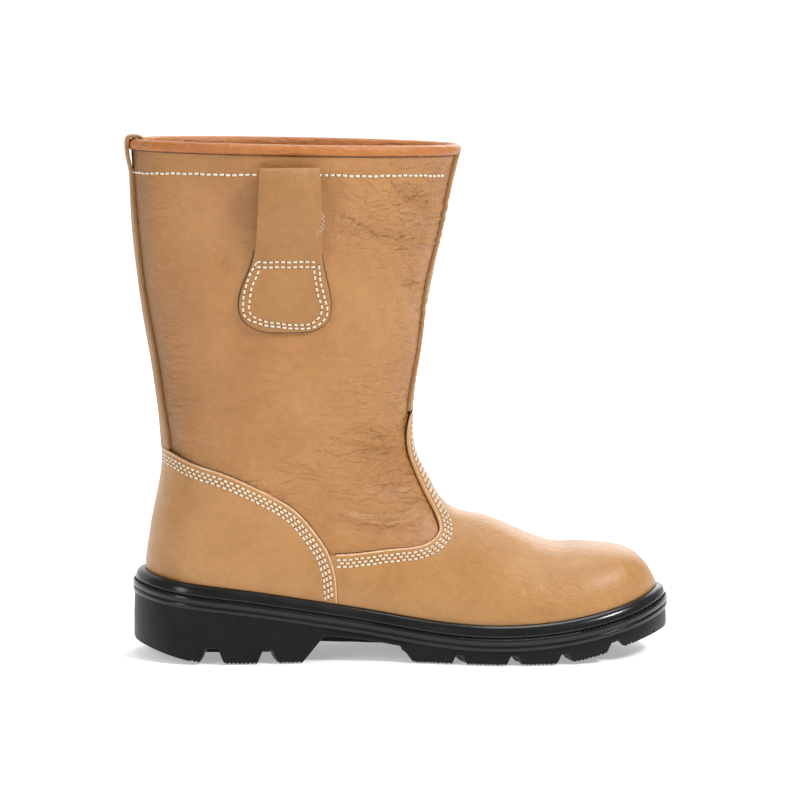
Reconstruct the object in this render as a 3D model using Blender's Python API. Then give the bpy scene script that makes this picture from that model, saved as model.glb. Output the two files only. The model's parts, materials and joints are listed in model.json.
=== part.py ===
"""Rigger boot, left foot, modelled in metres with +X to the toe, +Z up and the
inner (medial) side at -Y.  The origin is on the floor under the middle of the
boot.  Every solid comes from one description of the last: a top line, a seat
line, a rim outline and a table of sections that fan over the instep."""
import bpy, bmesh, math
import numpy as np
from mathutils import Vector
from mathutils.bvhtree import BVHTree

MM = 0.001

# ---------------------------------------------------------------- sizes (mm)
LEATHER = 2.2          # wall of the upper: leather and lining together
GAP = 0.30             # clearance between pieces that touch
VAMP_T = 1.5           # vamp leather, standing proud of the upper
COUNTER_T = 1.7        # heel counter leather
PROUD = 1.9            # how far the photographed outline lies outside the upper
LEDGE = 6.3            # the upper's lower edge sits this far inside the welt
WELT_H = 14.2          # visible height of the welt, bead and lips together
BEAD_IN = 6.3          # bead's top edge, inward of the rim outline
SEAT_IN = 8.4          # upper's lower edge, inward of the rim outline
INSOLE_T = 3.0
TOE_TIP, HEEL_TIP = 152.6, -150.7
BINDING_T = 1.5        # binding leather, standing proud of the wall all round
BINDING_H = 5.6        # visible height of the binding
STRAP_T = 1.6          # seam straps at the back and the front
SHIFT_X, SHIFT_Y = 0.45, -3.2    # brings the middle of the boot to the origin

# Rim outline seen from above: inner (medial) and outer (lateral) side.
RIM = [  # x, medial, lateral
    ("toe",        152.6,  -12.5,  -12.5),
    ("toe_round",  147.0,  -29.5,    8.5),
    ("toe_side",   136.0,  -42.5,   23.5),
    ("cap",        119.0,  -52.5,   36.6),
    ("cap_end",     98.0,  -58.0,   45.9),
    ("joint_in",    70.0,  -59.6,   55.8),
    ("joint_out",   42.0,  -56.6,   59.2),
    ("waist_fore",  12.0,  -46.8,   57.2),
    ("waist",      -20.0,  -39.9,   51.6),
    ("waist_back", -55.0,  -38.6,   50.1),
    ("heel_fore",  -88.0,  -38.4,   50.9),
    ("heel_mid",  -112.0,  -37.0,   49.4),
    ("heel_side", -132.0,  -29.8,   43.0),
    ("heel_round",-144.5,  -15.5,   30.5),
    ("heel",      -150.7,    6.5,    6.5),
]

# Height of the line where the upper meets the welt.
SEAT = [  # x, z
    ("heel",      -151.0, 49.8),
    ("heel_side", -127.0, 45.9),
    ("heel_fore",  -96.0, 41.9),
    ("waist_back", -56.0, 35.5),
    ("waist",      -18.0, 29.0),
    ("waist_fore",  15.0, 23.6),
    ("joint",       45.0, 21.8),
    ("joint_fore",  76.0, 22.9),
    ("cap",        104.0, 26.8),
    ("toe_side",   128.0, 32.2),
    ("toe",        153.0, 39.6),
]

# Underside of the sole, without its grooves.
TREAD = [  # x, z
    ("heel",      -150.7, 9.0),
    ("heel_bevel",-140.0, 6.2),
    ("heel_roll", -124.0, 2.2),
    ("heel_flat", -108.0, 0.0),
    ("heel_pad",   -80.0, 0.0),
    ("waist",      -30.0, 0.0),
    ("ball",        30.0, 0.0),
    ("ball_fore",   76.0, 0.0),
    ("roll",        95.0, 1.4),
    ("spring",     114.0, 5.6),
    ("spring_toe", 132.0, 10.4),
    ("toe",        152.6, 14.2),
]

# Outline of the boot from the side, along the top: toe, vamp, throat, shin.
TOP = [  # x, z
    ("toe_seat",   147.2,  32.0),
    ("toe_rim",    147.2,  37.8),
    ("toe_front",  144.0,  44.2),
    ("toe_round",  138.8,  51.6),
    ("toe_top",    129.4,  58.2),
    ("cap_mid",    116.0,  60.6),
    ("cap_end",    100.0,  61.3),
    ("cap_dip",     91.0,  61.2),
    ("ball",        81.5,  63.4),
    ("vamp_low",    65.0,  70.4),
    ("vamp_mid",    46.6,  77.2),
    ("vamp_top",    31.0,  81.4),
    ("throat",      24.2,  87.4),
    ("instep",      18.2,  98.2),
    ("shin_low",    11.8, 110.8),
    ("ankle",        8.8, 130.0),
    ("shin",        10.0, 150.0),
    ("shaft_low",   15.8, 189.0),
    ("shaft_mid",   21.8, 223.4),
    ("shaft_high",  28.4, 251.5),
    ("collar_low",  33.4, 273.0),
    ("collar",      36.4, 285.4),
]

# Outline along the back: heel, counter, back seam.
BACK = [  # x, z
    ("seat",      -145.2,  43.4),
    ("rim",       -145.0,  49.0),
    ("counter",   -142.4,  64.0),
    ("counter_up",-137.9,  86.0),
    ("ankle",     -134.0, 108.0),
    ("ankle_up",  -134.6, 128.0),
    ("shaft_low", -138.2, 156.5),
    ("shaft_mid", -143.6, 190.0),
    ("shaft_high",-148.0, 224.0),
    ("collar_low",-150.4, 256.0),
    ("collar",    -151.6, 289.8),
]

# Sections of the last.  'top' and 'base' are millimetres along the top line
# and along the seat and back line; 'mid' is the ridge's y; 'med' and 'lat' are
# the greatest half widths; 'rise' is the part of the section over which it
# reaches full width; 'full' is how square it is (2 = ellipse); 'heel' is the
# depth of the rounding at the back.
LAST = [
    # name         top    base   mid    med   lat  rise  full  heel
    ("toe",         0.0,   0.0, -12.0,   0.0,  0.0, 0.90, 2.30,  60),
    ("toe_front",  11.0,   9.0, -11.6,  15.5, 15.5, 0.90, 2.30,  60),
    ("toe_round",  22.0,  22.0, -11.0,  27.5, 29.0, 0.92, 2.35,  60),
    ("toe_cap",    38.0,  38.0,  -9.6,  37.0, 39.0, 0.94, 2.40,  60),
    ("cap_end",    58.0,  57.0,  -7.4,  43.2, 47.0, 0.96, 2.30,  60),
    ("joint_in",   80.0,  79.0,  -5.0,  46.2, 52.2, 0.98, 2.15,  60),
    ("joint_out", 101.0, 101.0,  -2.4,  45.6, 53.4, 0.98, 2.05,  60),
    ("vamp",      121.0, 126.0,   0.2,  43.0, 50.8, 0.98, 2.00,  60),
    ("instep",    139.0, 158.0,   2.8,  39.8, 45.6, 0.94, 1.98,  60),
    ("throat",    153.0, 196.0,   4.8,  37.8, 40.6, 0.84, 1.98,  60),
    ("shin",      166.0, 234.0,   6.0,  37.6, 38.6, 0.72, 2.00,  54),
    ("heel_fore", 179.0, 268.0,   6.5,  37.8, 37.8, 0.62, 2.08,  52),
    ("heel",      192.0, 292.5,   6.5,  38.2, 38.2, 0.56, 2.12,  52),
    ("ankle",     206.0, 315.0,   6.5,  39.0, 39.0, 0.53, 2.12,  55),
    ("ankle_up",  224.0, 342.0,   6.5,  40.4, 40.4, 0.52, 2.08,  62),
    ("shaft_low", 250.0, 384.0,   6.5,  42.4, 42.4, 0.51, 2.04,  73),
    ("shaft_mid", 284.0, 434.0,   6.5,  44.8, 44.8, 0.50, 2.02,  83),
    ("shaft_high",316.0, 484.0,   6.5,  47.2, 47.2, 0.50, 2.00,  89),
    ("collar",    346.6, 534.0,   6.5,  49.2, 49.2, 0.50, 2.00,  92),
]
# Edge of the vamp on the side of the boot: it climbs the instep as a tongue.
VAMP_EDGE = [  # x, z
    ("shin_top",     22.0, 139.0),
    ("tongue_top",    7.6, 136.4),
    ("tongue_side",   4.2, 126.6),
    ("tongue_low",    4.5, 115.5),
    ("throat",        8.4, 103.4),
    ("throat_side",  14.6,  89.4),
    ("turn_front",   20.0,  77.8),
    ("turn",         20.8,  70.8),
    ("turn_back",    16.4,  65.8),
    ("wing_front",    7.6,  62.8),
    ("wing_mid",     -6.0,  61.9),
    ("wing",        -25.0,  60.3),
    ("wing_back",   -44.0,  59.8),
]

# Edge of the heel counter, from the back seam to the welt.
COUNTER_EDGE = [  # x, z
    ("back_out",   -146.0, 119.4),
    ("back",       -132.5, 117.6),
    ("back_side",  -118.0, 111.4),
    ("shoulder",   -102.0, 106.6),
    ("slope",       -86.0,  99.7),
    ("slope_mid",   -70.5,  91.4),
    ("knee",        -60.0,  83.6),
    ("front",       -50.8,  72.6),
    ("front_low",   -43.3,  61.0),
    ("foot",        -39.5,  49.4),
    ("foot_low",    -38.2,  36.0),
    ("foot_seat",   -38.2,  20.0),
]

# Pull loop: outline of the folded strap and of its sewn foot, on the side.
LOOP_EDGE = [  # z, back edge x, front edge x
    ("fold",   278.0, -82.0, -48.8),
    ("strap",  262.0, -82.6, -48.2),
    ("waist",  240.0, -83.4, -47.6),
    ("row",    226.0, -85.0, -46.6),
    ("flare",  212.0, -90.2, -43.6),
    ("foot",   200.0, -92.4, -41.8),
    ("round",  192.4, -89.6, -43.4),
    ("hem",    187.6, -82.0, -50.0),
    ("end",    186.2, -72.0, -60.0),
]
# Its side profile: the outer layer, the fold and the layer lying on the shaft.
LOOP_OUT = [  # z, distance from the upper
    ("end",      184.0, 2.2), ("foot", 205.0, 2.3), ("row", 224.0, 2.6), ("lift", 233.0, 5.4),
    ("belly",    246.0, 9.4), ("high", 262.0, 11.4), ("fold_out", 272.0, 10.8),
    ("fold",     277.6, 7.2), ("fold_in", 276.6, 3.4), ("back", 270.0, 1.0),
]
LOOP_GAP = [  # z, distance from the upper: the finger gap inside the fold
    ("foot",     229.0, 2.35), ("lift", 236.0, 4.6), ("belly", 247.0, 7.6), ("high", 262.0, 9.4),
    ("fold",     271.5, 8.4), ("fold_top", 274.4, 5.6), ("fold_in", 271.0, 3.2), ("back", 258.0, 2.2),
    ("back_low", 240.0, 2.1),
]
# Seam straps: half width over the back and the front seam.
BACK_STRAP = [  # z, half width
    ("counter", 116.0, 12.0), ("ankle", 140.0, 11.0), ("calf", 200.0, 8.6), ("collar", 275.0, 7.0),
]
FRONT_STRAP = [  # z, half width
    ("throat", 134.0, 9.0), ("shin", 190.0, 9.2), ("collar", 290.0, 9.4),
]
LAST_KEYS = ("top", "base", "mid", "med", "lat", "rise", "full", "heel")


# ------------------------------------------------------------- curve helpers
def spline(knots, values, periodic=False):
    """Cubic spline through the rows; returns a function of the knot value."""
    k = np.asarray(knots, float)
    v = np.asarray(values, float)
    n = len(k)
    h = np.diff(k)
    a = np.zeros((n, n))
    b = np.zeros(n)
    for i in range(1, n - 1):
        a[i, i - 1], a[i, i], a[i, i + 1] = h[i - 1], 2 * (h[i - 1] + h[i]), h[i]
        b[i] = 6 * ((v[i + 1] - v[i]) / h[i] - (v[i] - v[i - 1]) / h[i - 1])
    if periodic:
        a[0, 0], a[0, n - 1] = 1, -1
        a[n - 1, 0] = 2 * h[0]
        a[n - 1, 1] = h[0]
        a[n - 1, n - 2] = h[-1]
        a[n - 1, n - 1] = 2 * h[-1]
        b[n - 1] = 6 * ((v[1] - v[0]) / h[0] - (v[-1] - v[-2]) / h[-1])
    else:
        a[0, 0], a[0, 1] = 1, -0.5
        a[n - 1, n - 1], a[n - 1, n - 2] = 1, -0.5
    m = np.linalg.solve(a, b)

    def f(x):
        x = np.asarray(x, float)
        i = np.clip(np.searchsorted(k, x, side="right") - 1, 0, n - 2)
        d = k[i + 1] - k[i]
        s, t = x - k[i], k[i + 1] - x
        return (m[i] * t ** 3 + m[i + 1] * s ** 3) / (6 * d) \
            + (v[i] / d - m[i] * d / 6) * t + (v[i + 1] / d - m[i + 1] * d / 6) * s
    return f


def line_xz(rows, inset):
    """Arc-length curve through named (x, z) rows, moved inward by inset."""
    p = np.array([r[1:3] for r in rows], float)
    d = np.concatenate(([0], np.cumsum(np.hypot(*np.diff(p, axis=0).T))))
    fx, fz = spline(d, p[:, 0]), spline(d, p[:, 1])
    t = np.linspace(0, d[-1], 1200)
    x, z = fx(t), fz(t)
    gx, gz = np.gradient(x), np.gradient(z)
    g = np.hypot(gx, gz)
    x, z = x - inset * gz / g, z + inset * gx / g
    return x, z


def by_length(x, z):
    s = np.concatenate(([0], np.cumsum(np.hypot(np.diff(x), np.diff(z)))))
    return s, lambda q: (np.interp(q, s, x), np.interp(q, s, z))


seat_z = spline([r[1] for r in SEAT], [r[2] for r in SEAT])
tread_curve = spline([r[1] for r in TREAD], [r[2] for r in TREAD])


def tread_z(x):
    """Underside: flat on the floor from the heel pad to the ball."""
    x = np.asarray(x, float)
    return np.where((x > -110) & (x < 78), 0.0, np.maximum(tread_curve(x), 0.0))


def rim_outline():
    """Periodic outline y(phi), x = centre + half * cos(phi)."""
    cx, hx = (TOE_TIP + HEEL_TIP) / 2, (TOE_TIP - HEEL_TIP) / 2
    ang = [math.acos(max(-1, min(1, (r[1] - cx) / hx))) for r in RIM]
    k = ang + [2 * math.pi - a for a in ang[-2::-1]]
    v = [r[3] for r in RIM] + [r[2] for r in RIM[-2::-1]]
    f = spline(k, v, periodic=True)
    return lambda phi: (cx + hx * np.cos(phi), f(phi))


rim_xy = rim_outline()


def rim_inset(inset, n=720):
    """Outline points, moved inward by inset; counter-clockwise from the toe."""
    phi = np.linspace(0, 2 * math.pi, n, endpoint=False)
    x, y = rim_xy(phi)
    gx = np.roll(x, -1) - np.roll(x, 1)
    gy = np.roll(y, -1) - np.roll(y, 1)
    g = np.hypot(gx, gy)
    return x - inset * gy / g, y + inset * gx / g


SX, SY = rim_inset(SEAT_IN)
TOE_I, HEEL_I = int(np.argmax(SX)), int(np.argmin(SX))


def seat_y(x):
    """Inner and outer side of the upper's lower edge at x."""
    n = len(SX)
    lat = np.arange(TOE_I, HEEL_I + 1)
    med = np.arange(HEEL_I, TOE_I + n + 1) % n
    yl = np.interp(x, SX[lat][::-1], SY[lat][::-1])
    ym = np.interp(x, SX[med], SY[med])
    return ym, yl


# ------------------------------------------------------------ the last itself
top_x, top_z = line_xz(TOP, PROUD)
back_x, back_z = line_xz(BACK, -PROUD)
top_x += (SX[TOE_I] - top_x[0]) * np.clip(1 - (top_z - top_z[0]) / 14, 0, 1) * (top_x > 120)
back_x += (SX[HEEL_I] - back_x[0]) * np.clip(1 - (back_z - back_z[0]) / 16, 0, 1)
back_z += (seat_z(back_x[0]) - LEDGE - back_z[0]) * np.clip(1 - (back_z - back_z[0]) / 16, 0, 1)
TOP_LEN, top_at = by_length(top_x, top_z)
sx = np.linspace(SX[TOE_I], back_x[0], 600)
base_x = np.concatenate((sx[:-1], back_x))
base_z = np.concatenate((seat_z(sx[:-1]) - LEDGE, back_z))
SEAT_LEN = float(np.sum(np.hypot(np.diff(sx), np.diff(seat_z(sx)))))
BASE_LEN, base_at = by_length(base_x, base_z)
last_t = np.arange(len(LAST)) / (len(LAST) - 1)
last_f = {key: spline(last_t, [r[i + 1] for r in LAST]) for i, key in enumerate(LAST_KEYS)}


def square(d, depth, full):
    """Superellipse rounding: 0 at the edge, 1 from depth inward."""
    q = np.clip(1 - np.maximum(d, 0) / depth, 0, 1)
    return (1 - q ** full) ** (1 / full)


HEEL_RUN = 52.0        # the heel's rounding runs this far forward at the seat


def heel_round(side):
    """Half width of the seat against the distance from its back end, as a
    share of the width further forward."""
    x = SX[HEEL_I] + np.linspace(0, HEEL_RUN, 160)
    y = np.array([seat_y(q)[side] for q in x])
    w = np.abs(y - y[0])
    return (lambda d: np.interp(d, x - x[0], w / w[-1])), float(w[-1])


HEEL_MED, HEEL_LAT = heel_round(0), heel_round(1)


def section(t, cells):
    """One section of the last: points from the inner seat (or the back), over
    the top line, to the outer seat (or the back)."""
    v = {key: float(last_f[key](t)) for key in LAST_KEYS}
    fx, fz = top_at(min(v["top"] * TOP_LEN[-1] / LAST[-1][1], TOP_LEN[-1]))
    base = v["base"] * BASE_LEN[-1] / LAST[-1][2]
    bx, bz = base_at(min(base, BASE_LEN[-1]))
    run = math.hypot(fx - bx, fz - bz)
    p = (1 - np.cos(np.linspace(0, math.pi, 241))) / 2
    on_seat = t < T_HEEL - 1e-6
    # distance in front of the back line: at the seat the heel is rounded like
    # the sole's outline, further up like a superellipse
    behind = np.maximum(fx + (bx - fx) * p - np.interp(fz + (bz - fz) * p, back_z, back_x), 0.0)
    up = min(max((t - T_HEEL) / 0.16, 0.0), 1.0)
    up = up * up * (3 - 2 * up)
    half = []
    ym, yl = seat_y(bx)
    for width, end, (low, seat_w) in ((v["med"], v["mid"] - ym, HEEL_MED), (v["lat"], yl - v["mid"], HEEL_LAT)):
        back = (1 - up) * low(behind * HEEL_RUN / v["heel"]) \
            + up * square((1 - p) * run, min(v["heel"], (1 - 0.98 * v["rise"]) * run), v["full"])
        w = width * square(p * run, v["rise"] * run, v["full"]) * back
        # drawn in to the seat's own width at the lower edge
        draw = seat_w / width - 1
        if not on_seat:
            draw *= math.exp(-((bz - back_z[0]) / 18.0) ** 2)
        elif w[-1] > 4:
            draw = end / w[-1] - 1
        w = w * (1 + draw * p ** 3)
        half.append(w)
    out = []
    for side, w in ((-1, half[0]), (1, half[1])):
        pts = np.stack((fx + (bx - fx) * p, v["mid"] + side * w, fz + (bz - fz) * p), 1)
        d = np.concatenate(([0], np.cumsum(np.linalg.norm(np.diff(pts, axis=0), axis=1))))
        u = np.linspace(0, 1, cells + 1)
        q = d[-1] * (u - 0.42 * np.sin(2 * math.pi * u) / (2 * math.pi))
        out.append(np.stack([np.interp(q, d, pts[:, k]) for k in range(3)], 1))
    return np.concatenate((out[0][::-1], out[1][1:])), on_seat


def last_sheet(rows, cells):
    """The upper's outer surface as an open mesh (bmesh in mm): a tube, open at
    the collar and along the seat."""
    bm = bmesh.new()
    x0, z0 = top_at(0)
    grid = [[bm.verts.new((x0, last_f["mid"](0), z0))] * (2 * cells + 1)]
    for t in rows:
        pts, on_seat = section(t, cells)
        row = [bm.verts.new(p) for p in pts[:-1]]
        row.append(bm.verts.new(pts[-1]) if on_seat else row[0])
        grid.append(row)
    for a, b in zip(grid, grid[1:]):
        for j in range(2 * cells):
            if j < cells:
                tris = ((a[j], b[j + 1], b[j]), (a[j], a[j + 1], b[j + 1]))
            else:
                tris = ((a[j], a[j + 1], b[j]), (a[j + 1], b[j + 1], b[j]))
            for tri in tris:
                if len(set(tri)) == 3:
                    bm.faces.new(tri)
    bm.normal_update()
    return bm, grid


T_HEEL = float(np.interp(SEAT_LEN, last_f["base"](np.linspace(0, 1, 2001)) * BASE_LEN[-1] / LAST[-1][2],
                         np.linspace(0, 1, 2001)))


def fan_rows(fore, aft):
    """Section parameters: toe to heel, closer together where the seat turns
    round the heel, then heel to collar."""
    u = np.linspace(0, 1, fore + 1)[2:]
    turn = [1 - HEEL_TURN * q for q in (0.6, 0.2) if HEEL_TURN * q < 1 / fore]
    a = T_HEEL * np.sort(np.concatenate((u, turn))) ** 1.05
    b = T_HEEL + (1 - T_HEEL) * np.linspace(0, 1, aft + 1)[1:]
    return [float(q) for q in a] + [float(q) for q in b]


HEEL_TURN = 0.045
ROWS = fan_rows(20, 9)
CELLS = 12


def offset_grid(rows, cells, amounts):
    """Vertex positions of the sheet at each offset, with the shared grid."""
    bm, grid = last_sheet(rows, cells)
    bm.verts.index_update()
    co = np.array([v.co for v in bm.verts])
    no = np.array([v.normal for v in bm.verts])
    faces = [[v.index for v in f.verts] for f in bm.faces]
    # normals of the seat edge and of the collar stay level, so that the
    # lower edge and the collar edge keep their height
    for row in grid[1:]:
        for v in (row[0], row[-1]):
            if row[0] is not row[-1]:
                no[v.index][2] = 0
                no[v.index] /= max(1e-9, np.linalg.norm(no[v.index]))
    for v in grid[-1]:
        no[v.index][2] = 0
        no[v.index] /= max(1e-9, np.linalg.norm(no[v.index]))
    no[grid[0][0].index] = (1, 0, 0)
    idx = [[v.index for v in row] for row in grid]
    bm.free()
    return [co + a * no for a in amounts], faces, idx


def seat_loop(idx):
    """Vertex loop of the lower edge: inner side toe to heel, outer side back."""
    med, lat = [], []
    for row in idx[1:]:
        if row[0] != row[-1]:
            med.append(row[0])
            lat.append(row[-1])
        else:
            med.append(row[0])
            break
    return [idx[0][0]] + med + lat[::-1]


def shell(name, outer, inner, rows=None, cells=CELLS):
    """Solid between two offsets of the last."""
    (o, i), faces, idx = offset_grid(rows or ROWS, cells, (outer, inner))
    n = len(o)
    polys = [tuple(f) for f in faces] + [tuple(n + k for k in f[::-1]) for f in faces]
    low = seat_loop(idx)
    high = idx[-1][:-1]
    for a, b in zip(low, low[1:] + low[:1]):
        polys.append((a, b, n + b, n + a))
    for a, b in zip(high, high[1:] + high[:1]):
        polys.append((b, a, n + a, n + b))
    return solid(name, np.concatenate((o, i)), polys)


def form(name, amount, rows=None, cells=CELLS, drop=0.0, raise_=0.0):
    """Filled form of the last at one offset, for cutting."""
    (o,), faces, idx = offset_grid(rows or ROWS, cells, (amount,))
    polys = [tuple(f) for f in faces]
    pts = [tuple(p) for p in o]
    low, high = seat_loop(idx), idx[-1][:-1]
    if drop:
        new = {}
        for a in low:
            new[a] = len(pts)
            pts.append((o[a][0], o[a][1], o[a][2] - drop))
        for a, b in zip(low, low[1:] + low[:1]):
            polys.append((a, b, new[b], new[a]))
        low = [new[a] for a in low]
    if raise_:
        new = {}
        for a in high:
            new[a] = len(pts)
            pts.append((o[a][0], o[a][1], o[a][2] + raise_))
        for a, b in zip(high, high[1:] + high[:1]):
            polys.append((b, a, new[a], new[b]))
        high = [new[a] for a in high]
    m = (len(low) - 2) // 2
    med, lat = low[1:1 + m], low[:1:-1][:m]
    polys.append((low[0], lat[0], med[0]))
    for k in range(m - 1):
        polys.append((med[k], lat[k], lat[k + 1], med[k + 1]))
    polys.append((med[-1], lat[-1], low[1 + m]))
    polys.append(tuple(high))
    return solid(name, np.array(pts), polys)


# ---------------------------------------------------------------- bodies
def material(name, rgb, rough, metallic=0.0):
    m = bpy.data.materials.new(name)
    m.use_nodes = True
    b = m.node_tree.nodes["Principled BSDF"]
    b.inputs["Base Color"].default_value = (*rgb, 1)
    b.inputs["Roughness"].default_value = rough
    b.inputs["Metallic"].default_value = metallic
    m.diffuse_color = (*rgb, 1)
    return m


def solid(name, pts_mm, polys):
    me = bpy.data.meshes.new(name)
    me.from_pydata([((float(p[0]) + SHIFT_X) * MM, (float(p[1]) + SHIFT_Y) * MM, float(p[2]) * MM)
                    for p in pts_mm], [], polys)
    me.update()
    ob = bpy.data.objects.new(name, me)
    bpy.context.scene.collection.objects.link(ob)
    bm = bmesh.new()
    bm.from_mesh(me)
    bmesh.ops.recalc_face_normals(bm, faces=bm.faces)
    bm.to_mesh(me)
    bm.free()
    return ob


def finish(ob, mat, angle=40):
    ob.data.materials.clear()
    ob.data.materials.append(mat)
    ob.data.shade_smooth()
    ob.data.set_sharp_from_angle(angle=math.radians(angle))
    return ob


def cut(ob, tool, op="DIFFERENCE", solver="EXACT", keep_tool=False):
    """Boolean applied to the object; the tool is removed afterwards."""
    md = ob.modifiers.new("cut", "BOOLEAN")
    md.operation, md.solver, md.object = op, solver, tool
    bpy.context.view_layer.update()
    me = bpy.data.meshes.new_from_object(ob.evaluated_get(bpy.context.evaluated_depsgraph_get()))
    ob.modifiers.remove(md)
    old = ob.data
    ob.data = me
    bpy.data.meshes.remove(old)
    if not keep_tool:
        drop(tool)
    return ob


def drop(ob):
    me = ob.data
    bpy.data.objects.remove(ob, do_unlink=True)
    if me.users == 0:
        bpy.data.meshes.remove(me)


def prism(name, outline, axis, low, high):
    """Prism over a closed outline; axis 'y' takes (x, z), 'x' takes (y, z) and
    'z' takes (x, y)."""
    n = len(outline)
    pts = []
    for d in (low, high):
        for a, b in outline:
            pts.append({"y": (a, d, b), "x": (d, a, b), "z": (a, b, d)}[axis])
    polys = [tuple(range(n)), tuple(range(n, 2 * n))[::-1]]
    polys += [(k, (k + 1) % n, n + (k + 1) % n, n + k) for k in range(n)]
    return solid(name, pts, polys)


def smooth_path(rows, steps):
    """Open smooth curve through named rows, by arc length."""
    p = np.array([r[1:3] for r in rows], float)
    d = np.concatenate(([0], np.cumsum(np.hypot(*np.diff(p, axis=0).T))))
    t = np.linspace(0, d[-1], steps)
    return list(zip(spline(d, p[:, 0])(t), spline(d, p[:, 1])(t)))


# ---------------------------------------------------------------- sole unit
STATIONS = 52          # stations round the rim, paired inner and outer side


def stations(inset):
    """Rim stations at the inset: toe, outer side, heel, inner side."""
    phi = np.linspace(0, 2 * math.pi, STATIONS, endpoint=False)
    x, y = rim_xy(phi)
    e = 1e-3
    xa, ya = rim_xy(phi - e)
    xb, yb = rim_xy(phi + e)
    gx, gy = xb - xa, yb - ya
    g = np.hypot(gx, gy)
    return x - inset * gy / g, y + inset * gx / g


def ring_body(name, rings, closed_section):
    """Loft of station rings; a closed section gives a torus, otherwise the
    first and last ring are bridged straight across."""
    n = STATIONS
    pts = [tuple(p) for ring in rings for p in ring]
    polys = []
    count = len(rings)
    for r in range(count if closed_section else count - 1):
        s = (r + 1) % count
        for k in range(n):
            j = (k + 1) % n
            polys.append((r * n + k, r * n + j, s * n + j, s * n + k))
    if not closed_section:
        for r in (0, count - 1):
            base = r * n
            for k in range(n // 2):
                a, b = k, k + 1
                c, d = (n - b) % n, (n - a) % n
                quad = []
                for w in (a, b, c, d):
                    if w not in quad:
                        quad.append(w)
                polys.append(tuple(base + w for w in quad))
    return solid(name, pts, polys)


def ring(inset, height):
    x, y = stations(inset)
    z = height(x)
    return np.stack((x, y, z), 1)


SIDE_GROOVES = [  # name, x at the rim, x at the channel, width, depth
    ("toe_groove",   116.5, 117.0, 10.5, 4.8),
    ("fore_groove",   87.3,  86.0,  8.8, 5.1),
    ("mid_groove",    58.9,  57.0,  8.8, 5.1),
    ("back_groove",   28.8,  26.0,  8.0, 5.1),
    ("heel_fore",    -77.5, -78.0, 11.6, 7.4),
    ("heel_back",   -108.6,-107.0, 13.6, 8.8),
]

CHANNELS = {  # the channels beside the centre plates: x, inner y, outer y
    "forepart": [
        ("toe",       126.5, -27.6,  6.4),
        ("shoulder",  115.5, -32.2, 13.2),
        ("plate_1",    88.0, -36.4, 23.4),
        ("step_1",     81.0, -37.6, 28.0),
        ("plate_2",    57.0, -34.6, 34.6),
        ("plate_3",    43.0, -32.6, 34.8),
        ("plate_4",    23.0, -24.8, 33.2),
        ("end",        -2.0, -14.4, 28.4),
    ],
    "heel": [
        ("breast",    -52.0, -11.2, 26.2),
        ("fore",      -76.5, -11.8, 27.2),
        ("mid",       -92.0, -10.8, 25.8),
        ("back",     -107.0,  -7.8, 22.7),
        ("end",      -121.0,  -4.7, 18.7),
    ],
}
CHANNEL_W, CHANNEL_D = 4.6, 4.6
ARCH_SIDE = [  # x, z: the waist beside its centre panel
    ("breast_low", -62.2, -5.0), ("breast", -45.8, 15.0), ("back", -33.0, 13.9),
    ("mid", -21.0, 12.3), ("front", -3.0, 9.1), ("front_low", 7.4, -5.0),
]
ARCH_PANEL = [  # x, z: the centre panel of the waist
    ("breast_low", -60.0, -5.0), ("breast", -49.0, 7.4), ("front", -1.0, 5.2), ("front_low", 4.2, -5.0),
]


def build_outsole():
    wall_top = lambda x: seat_z(x) - WELT_H - GAP
    rings = [ring(1.9, lambda x: tread_z(x)),
             ring(0.5, lambda x: tread_z(x) + 2.0),
             ring(0.9, wall_top),
             ring(SEAT_IN + 0.9, wall_top),
             ring(SEAT_IN + 0.9, lambda x: seat_z(x) - LEDGE - 0.8)]
    ob = ring_body("outsole", rings, False)
    cut(ob, prism("arch_panel", [r[1:] for r in ARCH_PANEL], "y", -90, 90))
    for side, edge in ((-1, -11.4), (1, 26.2)):
        low, high = sorted((edge, side * 90))
        cut(ob, prism("arch_side", [r[1:] for r in ARCH_SIDE], "y", low, high))
    for rows in CHANNELS.values():
        for col in (2, 3):
            cut(ob, channel(rows, col))
    for name, x_rim, x_in, width, depth in SIDE_GROOVES:
        for side in (-1, 1):
            cut(ob, groove(name, x_rim, x_in, width, depth, side))
    return ob


def channel(rows, col):
    """Groove of even width along a row of points of the underside."""
    p = [(r[1], r[col]) for r in rows]
    pts, polys = [], []
    for k, (x, y) in enumerate(p):
        (xa, ya), (xb, yb) = p[max(k - 1, 0)], p[min(k + 1, len(p) - 1)]
        g = math.hypot(xb - xa, yb - ya)
        nx, ny = -(yb - ya) / g, (xb - xa) / g
        z = float(tread_z(x))
        for w, h in ((-0.5, -4), (0.5, -4), (0.34, CHANNEL_D), (-0.34, CHANNEL_D)):
            pts.append((x + nx * w * CHANNEL_W, y + ny * w * CHANNEL_W, z + h))
    for k in range(len(p) - 1):
        for j in range(4):
            i = (j + 1) % 4
            polys.append((4 * k + j, 4 * k + i, 4 * k + 4 + i, 4 * k + 4 + j))
    polys += [(0, 1, 2, 3), tuple(4 * (len(p) - 1) + j for j in (3, 2, 1, 0))]
    return solid("channel", pts, polys)


def channel_y(x, side):
    rows = CHANNELS["forepart"] if x > 0 else CHANNELS["heel"]
    rows = sorted(rows, key=lambda r: r[1])
    return float(np.interp(x, [r[1] for r in rows], [r[2 if side < 0 else 3] for r in rows]))


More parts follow.
